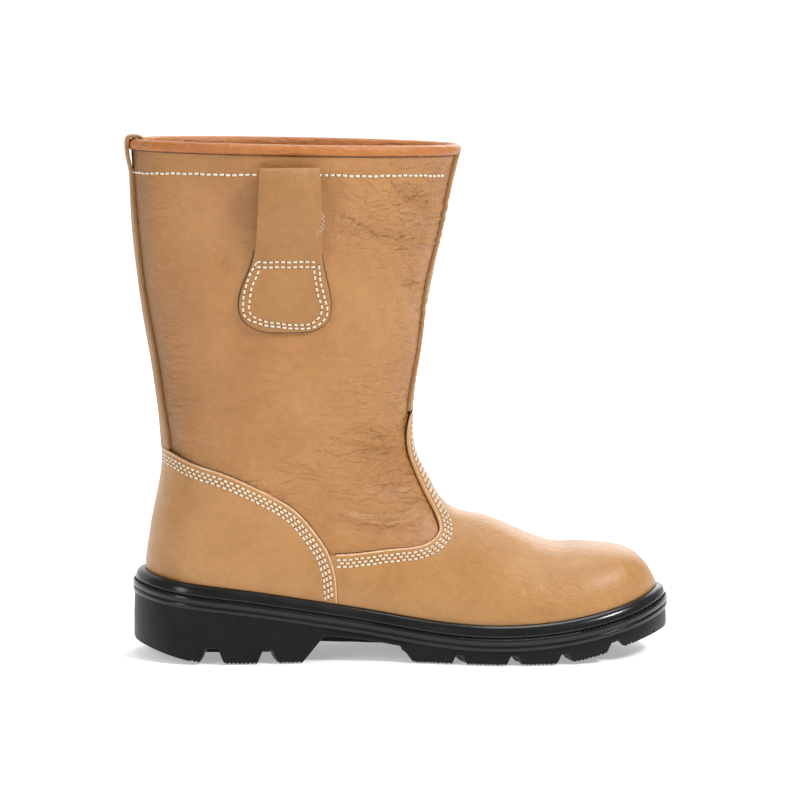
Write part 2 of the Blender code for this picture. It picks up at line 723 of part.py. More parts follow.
def groove(name, x_rim, x_in, width, depth, side):
    """Groove from the rim in to the channel, wider at its mouth than its floor."""
    phi = np.linspace(0, math.pi, 400) if side > 0 else np.linspace(2 * math.pi, math.pi, 400)
    ox, oy = rim_xy(phi)
    y_out = float(np.interp(-x_rim, -ox, oy)) + side * 12
    y_in = channel_y(x_in, side)
    pts, faces = [], []
    for y, x, w in ((y_out, x_rim, 1.0), (y_in, x_in, 0.8)):
        z = float(tread_z(x))
        h = depth if w == 1.0 else min(depth, 5.2)
        pts += [(x - width / 2 * w, y, z - 6), (x + width / 2 * w, y, z - 6),
                (x + width / 2 * w, y, z), (x + width * 0.24 * w, y, z + h),
                (x - width * 0.24 * w, y, z + h), (x - width / 2 * w, y, z)]
    faces = [(0, 1, 2, 3, 4, 5), (11, 10, 9, 8, 7, 6)]
    faces += [(k, (k + 1) % 6, 6 + (k + 1) % 6, 6 + k) for k in range(6)]
    return solid(name, pts, faces)


def build_welt():
    s = seat_z
    section_rows = [  # inset, below the seat line
        (SEAT_IN + 0.6, 0.8), (6.2, 0.0), (4.2, 0.5), (2.3, 2.4), (1.35, 6.0),
        (0.1, 7.2), (0.0, 13.2), (0.9, WELT_H),
        (SEAT_IN + 0.6, WELT_H), (SEAT_IN + 0.6, LEDGE + 0.6),
    ]
    rings = [ring(i, lambda x, b=b: s(x) - b) for i, b in section_rows]
    ob = ring_body("welt", rings, True)
    return cut(ob, form("upper_room", 1.5 * GAP + COUNTER_T + GAP, drop=GAP), "DIFFERENCE", "MANIFOLD")


def build_insole():
    rings = [ring(SEAT_IN - 2, lambda x: seat_z(x) - LEDGE - 0.4),
             ring(SEAT_IN - 2, lambda x: seat_z(x) - LEDGE - 0.4 + INSOLE_T)]
    ob = ring_body("insole", rings, False)
    return cut(ob, form("inner_form", -LEATHER - GAP - 0.1, drop=8), "INTERSECT", "MANIFOLD")


def side_tree():
    """Search tree of the upper's outer surface, in millimetres."""
    bm, _ = last_sheet(ROWS, CELLS)
    tree = BVHTree.FromBMesh(bm)
    bm.free()
    return tree


def surface_y(tree, x, z, side):
    hit = tree.ray_cast(Vector((x, side * 200, z)), Vector((0, -side, 0)))[0]
    return hit.y


def panel_outline(rows, far, steps):
    """Closed side outline: the smooth edge, then the far corners."""
    return smooth_path(rows, steps) + far


def build_counter():
    ob = shell("heel_counter", GAP + COUNTER_T, GAP)
    outline = panel_outline(COUNTER_EDGE, [(-190, 20), (-190, 119.4)], 15)
    return cut(ob, prism("counter_cut", outline, "y", -90, 90), "INTERSECT")


def build_vamp():
    ob = shell("vamp", GAP + VAMP_T, GAP)
    outline = panel_outline(VAMP_EDGE, [(-60, 59.8), (-60, 0), (190, 0), (190, 139)], 19)
    cut(ob, prism("vamp_cut", outline, "y", -90, 90), "INTERSECT")
    grown = [(x + GAP * 1.3, z + GAP * 1.3) for x, z in smooth_path(COUNTER_EDGE, 15)]
    grown += [(-190, 10), (-190, 120)]
    return cut(ob, prism("vamp_gap", grown, "y", -90, 90))


def strap_prism(name, rows, z_low, z_high, mid, x0, x1, steps):
    hw = spline([r[1] for r in rows], [r[2] for r in rows])
    zs = np.linspace(z_low, z_high, steps)
    left = [(mid - float(hw(z)), float(z)) for z in zs]
    right = [(mid + float(hw(z)), float(z)) for z in zs[::-1]]
    return prism(name, left + right, "x", x0, x1)


def build_front_strap():
    ob = shell("front_strap", GAP + STRAP_T, GAP)
    low = 137.6
    cut(ob, strap_prism("front_cut", FRONT_STRAP, low, 279.4, 6.0, -40, 80, 6), "INTERSECT")
    outline = panel_outline(VAMP_EDGE, [(-60, 59.8), (-60, 0), (190, 0), (190, 140)], 19)
    grown = [(x - GAP * 1.5, z + GAP * 1.5) for x, z in outline]
    return cut(ob, prism("front_gap", grown, "y", -90, 90))


def build_back_strap():
    """Strap over the back seam; its end stands off the binding and turns over
    the collar."""
    ob = shell("back_strap", GAP + STRAP_T, GAP)
    cut(ob, strap_prism("back_cut", BACK_STRAP, 112.0, 274.0, 6.0, -220, -90, 6), "INTERSECT")
    above = [(x, z + GAP * 1.6) for x, z in smooth_path(COUNTER_EDGE, 15)]
    cut(ob, prism("back_gap", above + [(-190, 20), (-190, 120)], "y", -90, 90))
    x_at = lambda z: float(np.interp(z, back_z, back_x))
    top = back_z[-1]
    out = GAP + STRAP_T
    b = BINDING_T + 2 * GAP
    path = [  # x and z of the strap's outer face, from the sewn part over the collar
        (x_at(268) - out, 268.0), (x_at(274) - out - 0.2, 274.0),
        (x_at(280) - out - 1.3, 280.0), (x_at(285) - b - STRAP_T - 0.1, 285.4),
        (x_at(289) - b - STRAP_T - 0.1, top - 0.6), (x_at(289) - b - 0.4, top + b + 1.1),
        (x_at(289) + 1.1, top + b + STRAP_T + 0.1), (x_at(289) + LEATHER + b + 0.2, top + b + 1.1),
        (x_at(289) + LEATHER + b + STRAP_T + 0.3, top - 1.0),
        (x_at(285) + LEATHER + b + STRAP_T + 0.5, 282.0),
    ]
    pts, polys = [], []
    n = len(path)
    widths = (-7.0, -3.5, 0.0, 3.5, 7.0)
    for k, (x, z) in enumerate(path):
        xa, za = path[max(k - 1, 0)]
        xb, zb = path[min(k + 1, n - 1)]
        g = math.hypot(xb - xa, zb - za)
        nx, nz = (zb - za) / g, -(xb - xa) / g
        for depth in (0.0, STRAP_T if k > 1 else STRAP_T * 0.9):
            for w in widths:
                bend = (0.018 if k < 7 else 0.034) * w * w
                pts.append((x + nx * depth + bend, 6.0 + w, z + nz * depth))
    m = len(widths)
    for k in range(n - 1):
        a, b2 = k * 2 * m, (k + 1) * 2 * m
        ringa = [a + j for j in range(m)] + [a + m + j for j in range(m - 1, -1, -1)]
        ringb = [b2 + j for j in range(m)] + [b2 + m + j for j in range(m - 1, -1, -1)]
        for j in range(2 * m):
            i = (j + 1) % (2 * m)
            polys.append((ringa[j], ringa[i], ringb[i], ringb[j]))
    for k in (0, n - 1):
        a = k * 2 * m
        for j in range(m - 1):
            polys.append((a + j, a + j + 1, a + m + j + 1, a + m + j))
    tab = solid("tab", pts, polys)
    return cut(ob, tab, "UNION")


def build_binding():
    """Leather binding folded over the collar's edge."""
    (o, i), faces, idx = offset_grid(ROWS, CELLS, (0.0, -LEATHER))
    rim = idx[-1][:-1]
    outer = np.array([o[k] for k in rim])
    inner = np.array([i[k] for k in rim])
    out_n = (outer - inner)
    out_n /= np.linalg.norm(out_n, axis=1)[:, None]
    b = BINDING_T + GAP
    rows = [  # outward from the wall's outer face, above the wall's edge
        (GAP, -(BINDING_H - b)), (b - 0.3, -(BINDING_H - b)), (b, -(BINDING_H - b) + 0.8),
        (b, -1.2), (b - 0.7, 0.9), (-LEATHER / 2, b), (-LEATHER - b + 0.7, 0.9),
        (-LEATHER - b, -1.2), (-LEATHER - b, -5.2), (-LEATHER - GAP, -5.2),
        (-LEATHER - GAP, GAP), (GAP, GAP),
    ]
    pts, polys = [], []
    n = len(rim)
    lean = []
    for k in range(n):
        p = outer[k]
        # the wall leans outward towards the collar: follow it downward
        below = o[idx[-2][k]]
        d = (outer[k] - below)
        lean.append(d / d[2])
    for r, z in rows:
        for k in range(n):
            q = outer[k] + out_n[k] * r + lean[k] * min(z, 0) + np.array((0, 0, max(z, 0)))
            pts.append(q)
    m = len(rows)
    for a in range(m):
        c = (a + 1) % m
        for k in range(n):
            j = (k + 1) % n
            polys.append((a * n + k, a * n + j, c * n + j, c * n + k))
    return solid("collar_binding", pts, polys)


def loop_outline():
    f = lambda col: smooth_path([(r[0], -r[1], r[col]) for r in LOOP_EDGE], 12)
    back = [(x, -z) for z, x in f(2)]
    front = [(x, -z) for z, x in f(3)]
    return [(-82.0, 290.0)] + back + front[::-1] + [(-48.8, 290.0)]


def loop_body(name, tree, side, rows, close_back, x_low, x_high, steps):
    """Extrusion along x of a side profile given as height and distance from the
    upper's surface."""
    prof = smooth_path([(r[0], r[1], r[2]) for r in rows], int(1.6 * len(rows)))
    prof = prof + close_back
    xs = np.linspace(x_low, x_high, steps)
    m = len(prof)
    pts, polys = [], []
    for x in xs:
        for z, d in prof:
            pts.append((x, surface_y(tree, x, min(z, 277), side) + side * d, z))
    for k in range(len(xs) - 1):
        for j in range(m):
            i = (j + 1) % m
            polys.append((k * m + j, k * m + i, (k + 1) * m + i, (k + 1) * m + j))
    polys.append(tuple(range(m)))
    polys.append(tuple((len(xs) - 1) * m + j for j in range(m))[::-1])
    return solid(name, pts, polys)


def build_loop(name, side, tree):
    lie = 0.6          # the strap's back layer lies this close to the upper
    close = [(z, lie) for z in (262.0, 250.0, 238.0, 224.0, 212.0, 200.0, 184.0)]
    ob = loop_body(name, tree, side, LOOP_OUT, close, -94.0, -40.0, 7)
    cut(ob, prism("loop_outline", loop_outline(), "y", -90, 90), "INTERSECT")
    return cut(ob, loop_body("loop_gap", tree, side, LOOP_GAP, [], -99.0, -35.0, 6))


for stale in list(bpy.data.objects):
    bpy.data.objects.remove(stale, do_unlink=True)

TAN = material("tan_leather", (0.55, 0.30, 0.115), 0.45)
PANEL = material("tan_panel", (0.58, 0.32, 0.125), 0.40)
STRAP = material("tan_strap", (0.57, 0.31, 0.12), 0.5)
tree = side_tree()
outsole = finish(build_outsole(), material("black_rubber", (0.012, 0.012, 0.013), 0.45))
upper = finish(shell("upper", 0.0, -LEATHER), TAN)
insole = finish(build_insole(), material("insole_board", (0.25, 0.16, 0.09), 0.8))
welt = finish(build_welt(), material("glossy_rubber", (0.01, 0.01, 0.011), 0.2))
vamp = finish(build_vamp(), PANEL)
heel_counter = finish(build_counter(), PANEL)
collar_binding = finish(build_binding(), material("orange_binding", (0.6, 0.25, 0.1), 0.45))
front_strap = finish(build_front_strap(), STRAP)
back_strap = finish(build_back_strap(), STRAP)
pull_loop_inner = finish(build_loop("pull_loop_inner", -1, tree), STRAP)
pull_loop_outer = finish(build_loop("pull_loop_outer", 1, tree), STRAP)
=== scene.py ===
"""Looks of the left rigger boot: leather, stitching, welt and tread built round
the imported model.  Lengths in the tables are millimetres in the boot's own
frame, +X to the toe, +Z up, the inner side at -Y."""
import bpy, bmesh, json, math
import numpy as np
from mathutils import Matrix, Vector
from mathutils.bvhtree import BVHTree

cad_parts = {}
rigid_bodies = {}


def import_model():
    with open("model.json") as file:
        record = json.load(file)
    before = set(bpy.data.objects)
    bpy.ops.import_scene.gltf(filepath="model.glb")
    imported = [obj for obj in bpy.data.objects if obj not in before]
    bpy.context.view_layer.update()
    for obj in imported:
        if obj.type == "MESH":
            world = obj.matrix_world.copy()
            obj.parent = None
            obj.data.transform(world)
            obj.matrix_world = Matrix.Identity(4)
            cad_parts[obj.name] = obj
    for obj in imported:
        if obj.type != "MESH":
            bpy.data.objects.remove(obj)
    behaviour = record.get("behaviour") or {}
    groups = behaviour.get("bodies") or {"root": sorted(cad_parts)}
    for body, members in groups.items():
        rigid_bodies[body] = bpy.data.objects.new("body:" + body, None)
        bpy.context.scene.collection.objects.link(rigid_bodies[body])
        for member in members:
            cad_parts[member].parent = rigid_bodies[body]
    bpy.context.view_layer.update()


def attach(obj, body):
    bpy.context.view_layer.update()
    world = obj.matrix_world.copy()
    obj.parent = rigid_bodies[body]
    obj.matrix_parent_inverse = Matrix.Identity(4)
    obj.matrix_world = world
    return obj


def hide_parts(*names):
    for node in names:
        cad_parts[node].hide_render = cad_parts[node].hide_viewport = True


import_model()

MM = 0.001

# ---------------------------------------------------------------- sizes (mm)
LEATHER = 2.2          # wall of the upper: leather and lining together
GAP = 0.30             # clearance between pieces that touch
VAMP_T = 1.5           # vamp leather, standing proud of the upper
COUNTER_T = 1.7        # heel counter leather
PROUD = 1.9            # how far the photographed outline lies outside the upper
LEDGE = 6.3            # the upper's lower edge sits this far inside the welt
WELT_H = 14.2          # visible height of the welt, bead and lips together
BEAD_IN = 6.3          # bead's top edge, inward of the rim outline
SEAT_IN = 8.4          # upper's lower edge, inward of the rim outline
INSOLE_T = 3.0
TOE_TIP, HEEL_TIP = 152.6, -150.7
BINDING_T = 1.5        # binding leather, standing proud of the wall all round
BINDING_H = 5.6        # visible height of the binding
STRAP_T = 1.6          # seam straps at the back and the front
SHIFT_X, SHIFT_Y = 0.45, -3.2    # brings the middle of the boot to the origin

# Rim outline seen from above: inner (medial) and outer (lateral) side.
RIM = [  # x, medial, lateral
    ("toe",        152.6,  -12.5,  -12.5),
    ("toe_round",  147.0,  -29.5,    8.5),
    ("toe_side",   136.0,  -42.5,   23.5),
    ("cap",        119.0,  -52.5,   36.6),
    ("cap_end",     98.0,  -58.0,   45.9),
    ("joint_in",    70.0,  -59.6,   55.8),
    ("joint_out",   42.0,  -56.6,   59.2),
    ("waist_fore",  12.0,  -46.8,   57.2),
    ("waist",      -20.0,  -39.9,   51.6),
    ("waist_back", -55.0,  -38.6,   50.1),
    ("heel_fore",  -88.0,  -38.4,   50.9),
    ("heel_mid",  -112.0,  -37.0,   49.4),
    ("heel_side", -132.0,  -29.8,   43.0),
    ("heel_round",-144.5,  -15.5,   30.5),
    ("heel",      -150.7,    6.5,    6.5),
]

# Height of the line where the upper meets the welt.
SEAT = [  # x, z
    ("heel",      -151.0, 49.8),
    ("heel_side", -127.0, 45.9),
    ("heel_fore",  -96.0, 41.9),
    ("waist_back", -56.0, 35.5),
    ("waist",      -18.0, 29.0),
    ("waist_fore",  15.0, 23.6),
    ("joint",       45.0, 21.8),
    ("joint_fore",  76.0, 22.9),
    ("cap",        104.0, 26.8),
    ("toe_side",   128.0, 32.2),
    ("toe",        153.0, 39.6),
]

# Underside of the sole, without its grooves.
TREAD = [  # x, z
    ("heel",      -150.7, 9.0),
    ("heel_bevel",-140.0, 6.2),
    ("heel_roll", -124.0, 2.2),
    ("heel_flat", -108.0, 0.0),
    ("heel_pad",   -80.0, 0.0),
    ("waist",      -30.0, 0.0),
    ("ball",        30.0, 0.0),
    ("ball_fore",   76.0, 0.0),
    ("roll",        95.0, 1.4),
    ("spring",     114.0, 5.6),
    ("spring_toe", 132.0, 10.4),
    ("toe",        152.6, 14.2),
]

# Outline of the boot from the side, along the top: toe, vamp, throat, shin.
TOP = [  # x, z
    ("toe_seat",   147.2,  32.0),
    ("toe_rim",    147.2,  37.8),
    ("toe_front",  144.0,  44.2),
    ("toe_round",  138.8,  51.6),
    ("toe_top",    129.4,  58.2),
    ("cap_mid",    116.0,  60.6),
    ("cap_end",    100.0,  61.3),
    ("cap_dip",     91.0,  61.2),
    ("ball",        81.5,  63.4),
    ("vamp_low",    65.0,  70.4),
    ("vamp_mid",    46.6,  77.2),
    ("vamp_top",    31.0,  81.4),
    ("throat",      24.2,  87.4),
    ("instep",      18.2,  98.2),
    ("shin_low",    11.8, 110.8),
    ("ankle",        8.8, 130.0),
    ("shin",        10.0, 150.0),
    ("shaft_low",   15.8, 189.0),
    ("shaft_mid",   21.8, 223.4),
    ("shaft_high",  28.4, 251.5),
    ("collar_low",  33.4, 273.0),
    ("collar",      36.4, 285.4),
]

# Outline along the back: heel, counter, back seam.
BACK = [  # x, z
    ("seat",      -145.2,  43.4),
    ("rim",       -145.0,  49.0),
    ("counter",   -142.4,  64.0),
    ("counter_up",-137.9,  86.0),
    ("ankle",     -134.0, 108.0),
    ("ankle_up",  -134.6, 128.0),
    ("shaft_low", -138.2, 156.5),
    ("shaft_mid", -143.6, 190.0),
    ("shaft_high",-148.0, 224.0),
    ("collar_low",-150.4, 256.0),
    ("collar",    -151.6, 289.8),
]

# Sections of the last.  'top' and 'base' are millimetres along the top line
# and along the seat and back line; 'mid' is the ridge's y; 'med' and 'lat' are
# the greatest half widths; 'rise' is the part of the section over which it
# reaches full width; 'full' is how square it is (2 = ellipse); 'heel' is the
# depth of the rounding at the back.
LAST = [
    # name         top    base   mid    med   lat  rise  full  heel
    ("toe",         0.0,   0.0, -12.0,   0.0,  0.0, 0.90, 2.30,  60),
    ("toe_front",  11.0,   9.0, -11.6,  15.5, 15.5, 0.90, 2.30,  60),
    ("toe_round",  22.0,  22.0, -11.0,  27.5, 29.0, 0.92, 2.35,  60),
    ("toe_cap",    38.0,  38.0,  -9.6,  37.0, 39.0, 0.94, 2.40,  60),
    ("cap_end",    58.0,  57.0,  -7.4,  43.2, 47.0, 0.96, 2.30,  60),
    ("joint_in",   80.0,  79.0,  -5.0,  46.2, 52.2, 0.98, 2.15,  60),
    ("joint_out", 101.0, 101.0,  -2.4,  45.6, 53.4, 0.98, 2.05,  60),
    ("vamp",      121.0, 126.0,   0.2,  43.0, 50.8, 0.98, 2.00,  60),
    ("instep",    139.0, 158.0,   2.8,  39.8, 45.6, 0.94, 1.98,  60),
    ("throat",    153.0, 196.0,   4.8,  37.8, 40.6, 0.84, 1.98,  60),
    ("shin",      166.0, 234.0,   6.0,  37.6, 38.6, 0.72, 2.00,  54),
    ("heel_fore", 179.0, 268.0,   6.5,  37.8, 37.8, 0.62, 2.08,  52),
    ("heel",      192.0, 292.5,   6.5,  38.2, 38.2, 0.56, 2.12,  52),
    ("ankle",     206.0, 315.0,   6.5,  39.0, 39.0, 0.53, 2.12,  55),
    ("ankle_up",  224.0, 342.0,   6.5,  40.4, 40.4, 0.52, 2.08,  62),
    ("shaft_low", 250.0, 384.0,   6.5,  42.4, 42.4, 0.51, 2.04,  73),
    ("shaft_mid", 284.0, 434.0,   6.5,  44.8, 44.8, 0.50, 2.02,  83),
    ("shaft_high",316.0, 484.0,   6.5,  47.2, 47.2, 0.50, 2.00,  89),
    ("collar",    346.6, 534.0,   6.5,  49.2, 49.2, 0.50, 2.00,  92),
]
# Edge of the vamp on the side of the boot: it climbs the instep as a tongue.
VAMP_EDGE = [  # x, z
    ("shin_top",     22.0, 139.0),
    ("tongue_top",    7.6, 136.4),
    ("tongue_side",   4.2, 126.6),
    ("tongue_low",    4.5, 115.5),
    ("throat",        8.4, 103.4),
    ("throat_side",  14.6,  89.4),
    ("turn_front",   20.0,  77.8),
    ("turn",         20.8,  70.8),
    ("turn_back",    16.4,  65.8),
    ("wing_front",    7.6,  62.8),
    ("wing_mid",     -6.0,  61.9),
    ("wing",        -25.0,  60.3),
    ("wing_back",   -44.0,  59.8),
]

# Edge of the heel counter, from the back seam to the welt.
COUNTER_EDGE = [  # x, z
    ("back_out",   -146.0, 119.4),
    ("back",       -132.5, 117.6),
    ("back_side",  -118.0, 111.4),
    ("shoulder",   -102.0, 106.6),
    ("slope",       -86.0,  99.7),
    ("slope_mid",   -70.5,  91.4),
    ("knee",        -60.0,  83.6),
    ("front",       -50.8,  72.6),
    ("front_low",   -43.3,  61.0),
    ("foot",        -39.5,  49.4),
    ("foot_low",    -38.2,  36.0),
    ("foot_seat",   -38.2,  20.0),
]

# Pull loop: outline of the folded strap and of its sewn foot, on the side.
LOOP_EDGE = [  # z, back edge x, front edge x
    ("fold",   278.0, -82.0, -48.8),
    ("strap",  262.0, -82.6, -48.2),
    ("waist",  240.0, -83.4, -47.6),
    ("row",    226.0, -85.0, -46.6),
    ("flare",  212.0, -90.2, -43.6),
    ("foot",   200.0, -92.4, -41.8),
    ("round",  192.4, -89.6, -43.4),
    ("hem",    187.6, -82.0, -50.0),
    ("end",    186.2, -72.0, -60.0),
]
# Its side profile: the outer layer, the fold and the layer lying on the shaft.
LOOP_OUT = [  # z, distance from the upper
    ("end",      184.0, 2.2), ("foot", 205.0, 2.3), ("row", 224.0, 2.6), ("lift", 233.0, 5.4),
    ("belly",    246.0, 9.4), ("high", 262.0, 11.4), ("fold_out", 272.0, 10.8),
    ("fold",     277.6, 7.2), ("fold_in", 276.6, 3.4), ("back", 270.0, 1.0),
]
LOOP_GAP = [  # z, distance from the upper: the finger gap inside the fold
    ("foot",     229.0, 2.35), ("lift", 236.0, 4.6), ("belly", 247.0, 7.6), ("high", 262.0, 9.4),
    ("fold",     271.5, 8.4), ("fold_top", 274.4, 5.6), ("fold_in", 271.0, 3.2), ("back", 258.0, 2.2),
    ("back_low", 240.0, 2.1),
]
# Seam straps: half width over the back and the front seam.
BACK_STRAP = [  # z, half width
    ("counter", 116.0, 12.0), ("ankle", 140.0, 11.0), ("calf", 200.0, 8.6), ("collar", 275.0, 7.0),
]
FRONT_STRAP = [  # z, half width
    ("throat", 134.0, 9.0), ("shin", 190.0, 9.2), ("collar", 290.0, 9.4),
]
LAST_KEYS = ("top", "base", "mid", "med", "lat", "rise", "full", "heel")


# ------------------------------------------------------------- curve helpers
def spline(knots, values, periodic=False):
    """Cubic spline through the rows; returns a function of the knot value."""
    k = np.asarray(knots, float)
    v = np.asarray(values, float)
    n = len(k)
    h = np.diff(k)
    a = np.zeros((n, n))
    b = np.zeros(n)
    for i in range(1, n - 1):
        a[i, i - 1], a[i, i], a[i, i + 1] = h[i - 1], 2 * (h[i - 1] + h[i]), h[i]
        b[i] = 6 * ((v[i + 1] - v[i]) / h[i] - (v[i] - v[i - 1]) / h[i - 1])
    if periodic:
        a[0, 0], a[0, n - 1] = 1, -1
        a[n - 1, 0] = 2 * h[0]
        a[n - 1, 1] = h[0]
        a[n - 1, n - 2] = h[-1]
        a[n - 1, n - 1] = 2 * h[-1]
        b[n - 1] = 6 * ((v[1] - v[0]) / h[0] - (v[-1] - v[-2]) / h[-1])
    else:
        a[0, 0], a[0, 1] = 1, -0.5
        a[n - 1, n - 1], a[n - 1, n - 2] = 1, -0.5
    m = np.linalg.solve(a, b)

    def f(x):
        x = np.asarray(x, float)
        i = np.clip(np.searchsorted(k, x, side="right") - 1, 0, n - 2)
        d = k[i + 1] - k[i]
        s, t = x - k[i], k[i + 1] - x
        return (m[i] * t ** 3 + m[i + 1] * s ** 3) / (6 * d) \
            + (v[i] / d - m[i] * d / 6) * t + (v[i + 1] / d - m[i + 1] * d / 6) * s
    return f


def line_xz(rows, inset):
    """Arc-length curve through named (x, z) rows, moved inward by inset."""
    p = np.array([r[1:3] for r in rows], float)
    d = np.concatenate(([0], np.cumsum(np.hypot(*np.diff(p, axis=0).T))))
    fx, fz = spline(d, p[:, 0]), spline(d, p[:, 1])
    t = np.linspace(0, d[-1], 1200)
    x, z = fx(t), fz(t)
    gx, gz = np.gradient(x), np.gradient(z)
    g = np.hypot(gx, gz)
    x, z = x - inset * gz / g, z + inset * gx / g
    return x, z


def by_length(x, z):
    s = np.concatenate(([0], np.cumsum(np.hypot(np.diff(x), np.diff(z)))))
    return s, lambda q: (np.interp(q, s, x), np.interp(q, s, z))


seat_z = spline([r[1] for r in SEAT], [r[2] for r in SEAT])
tread_curve = spline([r[1] for r in TREAD], [r[2] for r in TREAD])


def tread_z(x):
    """Underside: flat on the floor from the heel pad to the ball."""
    x = np.asarray(x, float)
    return np.where((x > -110) & (x < 78), 0.0, np.maximum(tread_curve(x), 0.0))


def rim_outline():
    """Periodic outline y(phi), x = centre + half * cos(phi)."""
    cx, hx = (TOE_TIP + HEEL_TIP) / 2, (TOE_TIP - HEEL_TIP) / 2
    ang = [math.acos(max(-1, min(1, (r[1] - cx) / hx))) for r in RIM]
    k = ang + [2 * math.pi - a for a in ang[-2::-1]]
    v = [r[3] for r in RIM] + [r[2] for r in RIM[-2::-1]]
    f = spline(k, v, periodic=True)
    return lambda phi: (cx + hx * np.cos(phi), f(phi))


rim_xy = rim_outline()


def rim_inset(inset, n=720):
    """Outline points, moved inward by inset; counter-clockwise from the toe."""
    phi = np.linspace(0, 2 * math.pi, n, endpoint=False)
    x, y = rim_xy(phi)
    gx = np.roll(x, -1) - np.roll(x, 1)
    gy = np.roll(y, -1) - np.roll(y, 1)
    g = np.hypot(gx, gy)
    return x - inset * gy / g, y + inset * gx / g


SX, SY = rim_inset(SEAT_IN)
TOE_I, HEEL_I = int(np.argmax(SX)), int(np.argmin(SX))


def seat_y(x):
    """Inner and outer side of the upper's lower edge at x."""
    n = len(SX)
    lat = np.arange(TOE_I, HEEL_I + 1)
    med = np.arange(HEEL_I, TOE_I + n + 1) % n
    yl = np.interp(x, SX[lat][::-1], SY[lat][::-1])
    ym = np.interp(x, SX[med], SY[med])
    return ym, yl


# ------------------------------------------------------------ the last itself
top_x, top_z = line_xz(TOP, PROUD)
back_x, back_z = line_xz(BACK, -PROUD)
top_x += (SX[TOE_I] - top_x[0]) * np.clip(1 - (top_z - top_z[0]) / 14, 0, 1) * (top_x > 120)
back_x += (SX[HEEL_I] - back_x[0]) * np.clip(1 - (back_z - back_z[0]) / 16, 0, 1)
back_z += (seat_z(back_x[0]) - LEDGE - back_z[0]) * np.clip(1 - (back_z - back_z[0]) / 16, 0, 1)
TOP_LEN, top_at = by_length(top_x, top_z)
sx = np.linspace(SX[TOE_I], back_x[0], 600)
base_x = np.concatenate((sx[:-1], back_x))
base_z = np.concatenate((seat_z(sx[:-1]) - LEDGE, back_z))
SEAT_LEN = float(np.sum(np.hypot(np.diff(sx), np.diff(seat_z(sx)))))
BASE_LEN, base_at = by_length(base_x, base_z)
last_t = np.arange(len(LAST)) / (len(LAST) - 1)
last_f = {key: spline(last_t, [r[i + 1] for r in LAST]) for i, key in enumerate(LAST_KEYS)}


def square(d, depth, full):
    """Superellipse rounding: 0 at the edge, 1 from depth inward."""
    q = np.clip(1 - np.maximum(d, 0) / depth, 0, 1)
    return (1 - q ** full) ** (1 / full)


HEEL_RUN = 52.0        # the heel's rounding runs this far forward at the seat


def heel_round(side):
    """Half width of the seat against the distance from its back end, as a
    share of the width further forward."""
    x = SX[HEEL_I] + np.linspace(0, HEEL_RUN, 160)
    y = np.array([seat_y(q)[side] for q in x])
    w = np.abs(y - y[0])
    return (lambda d: np.interp(d, x - x[0], w / w[-1])), float(w[-1])


HEEL_MED, HEEL_LAT = heel_round(0), heel_round(1)


def section(t, cells):
    """One section of the last: points from the inner seat (or the back), over
    the top line, to the outer seat (or the back)."""
    v = {key: float(last_f[key](t)) for key in LAST_KEYS}
    fx, fz = top_at(min(v["top"] * TOP_LEN[-1] / LAST[-1][1], TOP_LEN[-1]))
    base = v["base"] * BASE_LEN[-1] / LAST[-1][2]
    bx, bz = base_at(min(base, BASE_LEN[-1]))
    run = math.hypot(fx - bx, fz - bz)
    p = (1 - np.cos(np.linspace(0, math.pi, 241))) / 2
    on_seat = t < T_HEEL - 1e-6
    # distance in front of the back line: at the seat the heel is rounded like
    # the sole's outline, further up like a superellipse
    behind = np.maximum(fx + (bx - fx) * p - np.interp(fz + (bz - fz) * p, back_z, back_x), 0.0)
    up = min(max((t - T_HEEL) / 0.16, 0.0), 1.0)
    up = up * up * (3 - 2 * up)
    half = []
    ym, yl = seat_y(bx)
    for width, end, (low, seat_w) in ((v["med"], v["mid"] - ym, HEEL_MED), (v["lat"], yl - v["mid"], HEEL_LAT)):
        back = (1 - up) * low(behind * HEEL_RUN / v["heel"]) \
            + up * square((1 - p) * run, min(v["heel"], (1 - 0.98 * v["rise"]) * run), v["full"])
        w = width * square(p * run, v["rise"] * run, v["full"]) * back
        # drawn in to the seat's own width at the lower edge
        draw = seat_w / width - 1
        if not on_seat:
            draw *= math.exp(-((bz - back_z[0]) / 18.0) ** 2)
        elif w[-1] > 4:
            draw = end / w[-1] - 1
        w = w * (1 + draw * p ** 3)
        half.append(w)
    out = []
    for side, w in ((-1, half[0]), (1, half[1])):
        pts = np.stack((fx + (bx - fx) * p, v["mid"] + side * w, fz + (bz - fz) * p), 1)
        d = np.concatenate(([0], np.cumsum(np.linalg.norm(np.diff(pts, axis=0), axis=1))))
        u = np.linspace(0, 1, cells + 1)
        q = d[-1] * (u - SPREAD * np.sin(2 * math.pi * u) / (2 * math.pi))
        out.append(np.stack([np.interp(q, d, pts[:, k]) for k in range(3)], 1))
    return np.concatenate((out[0][::-1], out[1][1:])), on_seat


T_HEEL = float(np.interp(SEAT_LEN, last_f["base"](np.linspace(0, 1, 2001)) * BASE_LEN[-1] / LAST[-1][2],
                         np.linspace(0, 1, 2001)))


def fan_rows(fore, aft):
    """Section parameters: toe to heel, closer together where the seat turns
    round the heel, then heel to collar."""
    u = np.linspace(0, 1, fore + 1)[2:]
    turn = [1 - HEEL_TURN * q for q in (0.6, 0.2) if HEEL_TURN * q < 1 / fore]
    a = T_HEEL * np.sort(np.concatenate((u, turn))) ** 1.05
    b = T_HEEL + (1 - T_HEEL) * np.linspace(0, 1, aft + 1)[1:]
    return [float(q) for q in a] + [float(q) for q in b]


HEEL_TURN = 0.045
SPREAD = 0.42


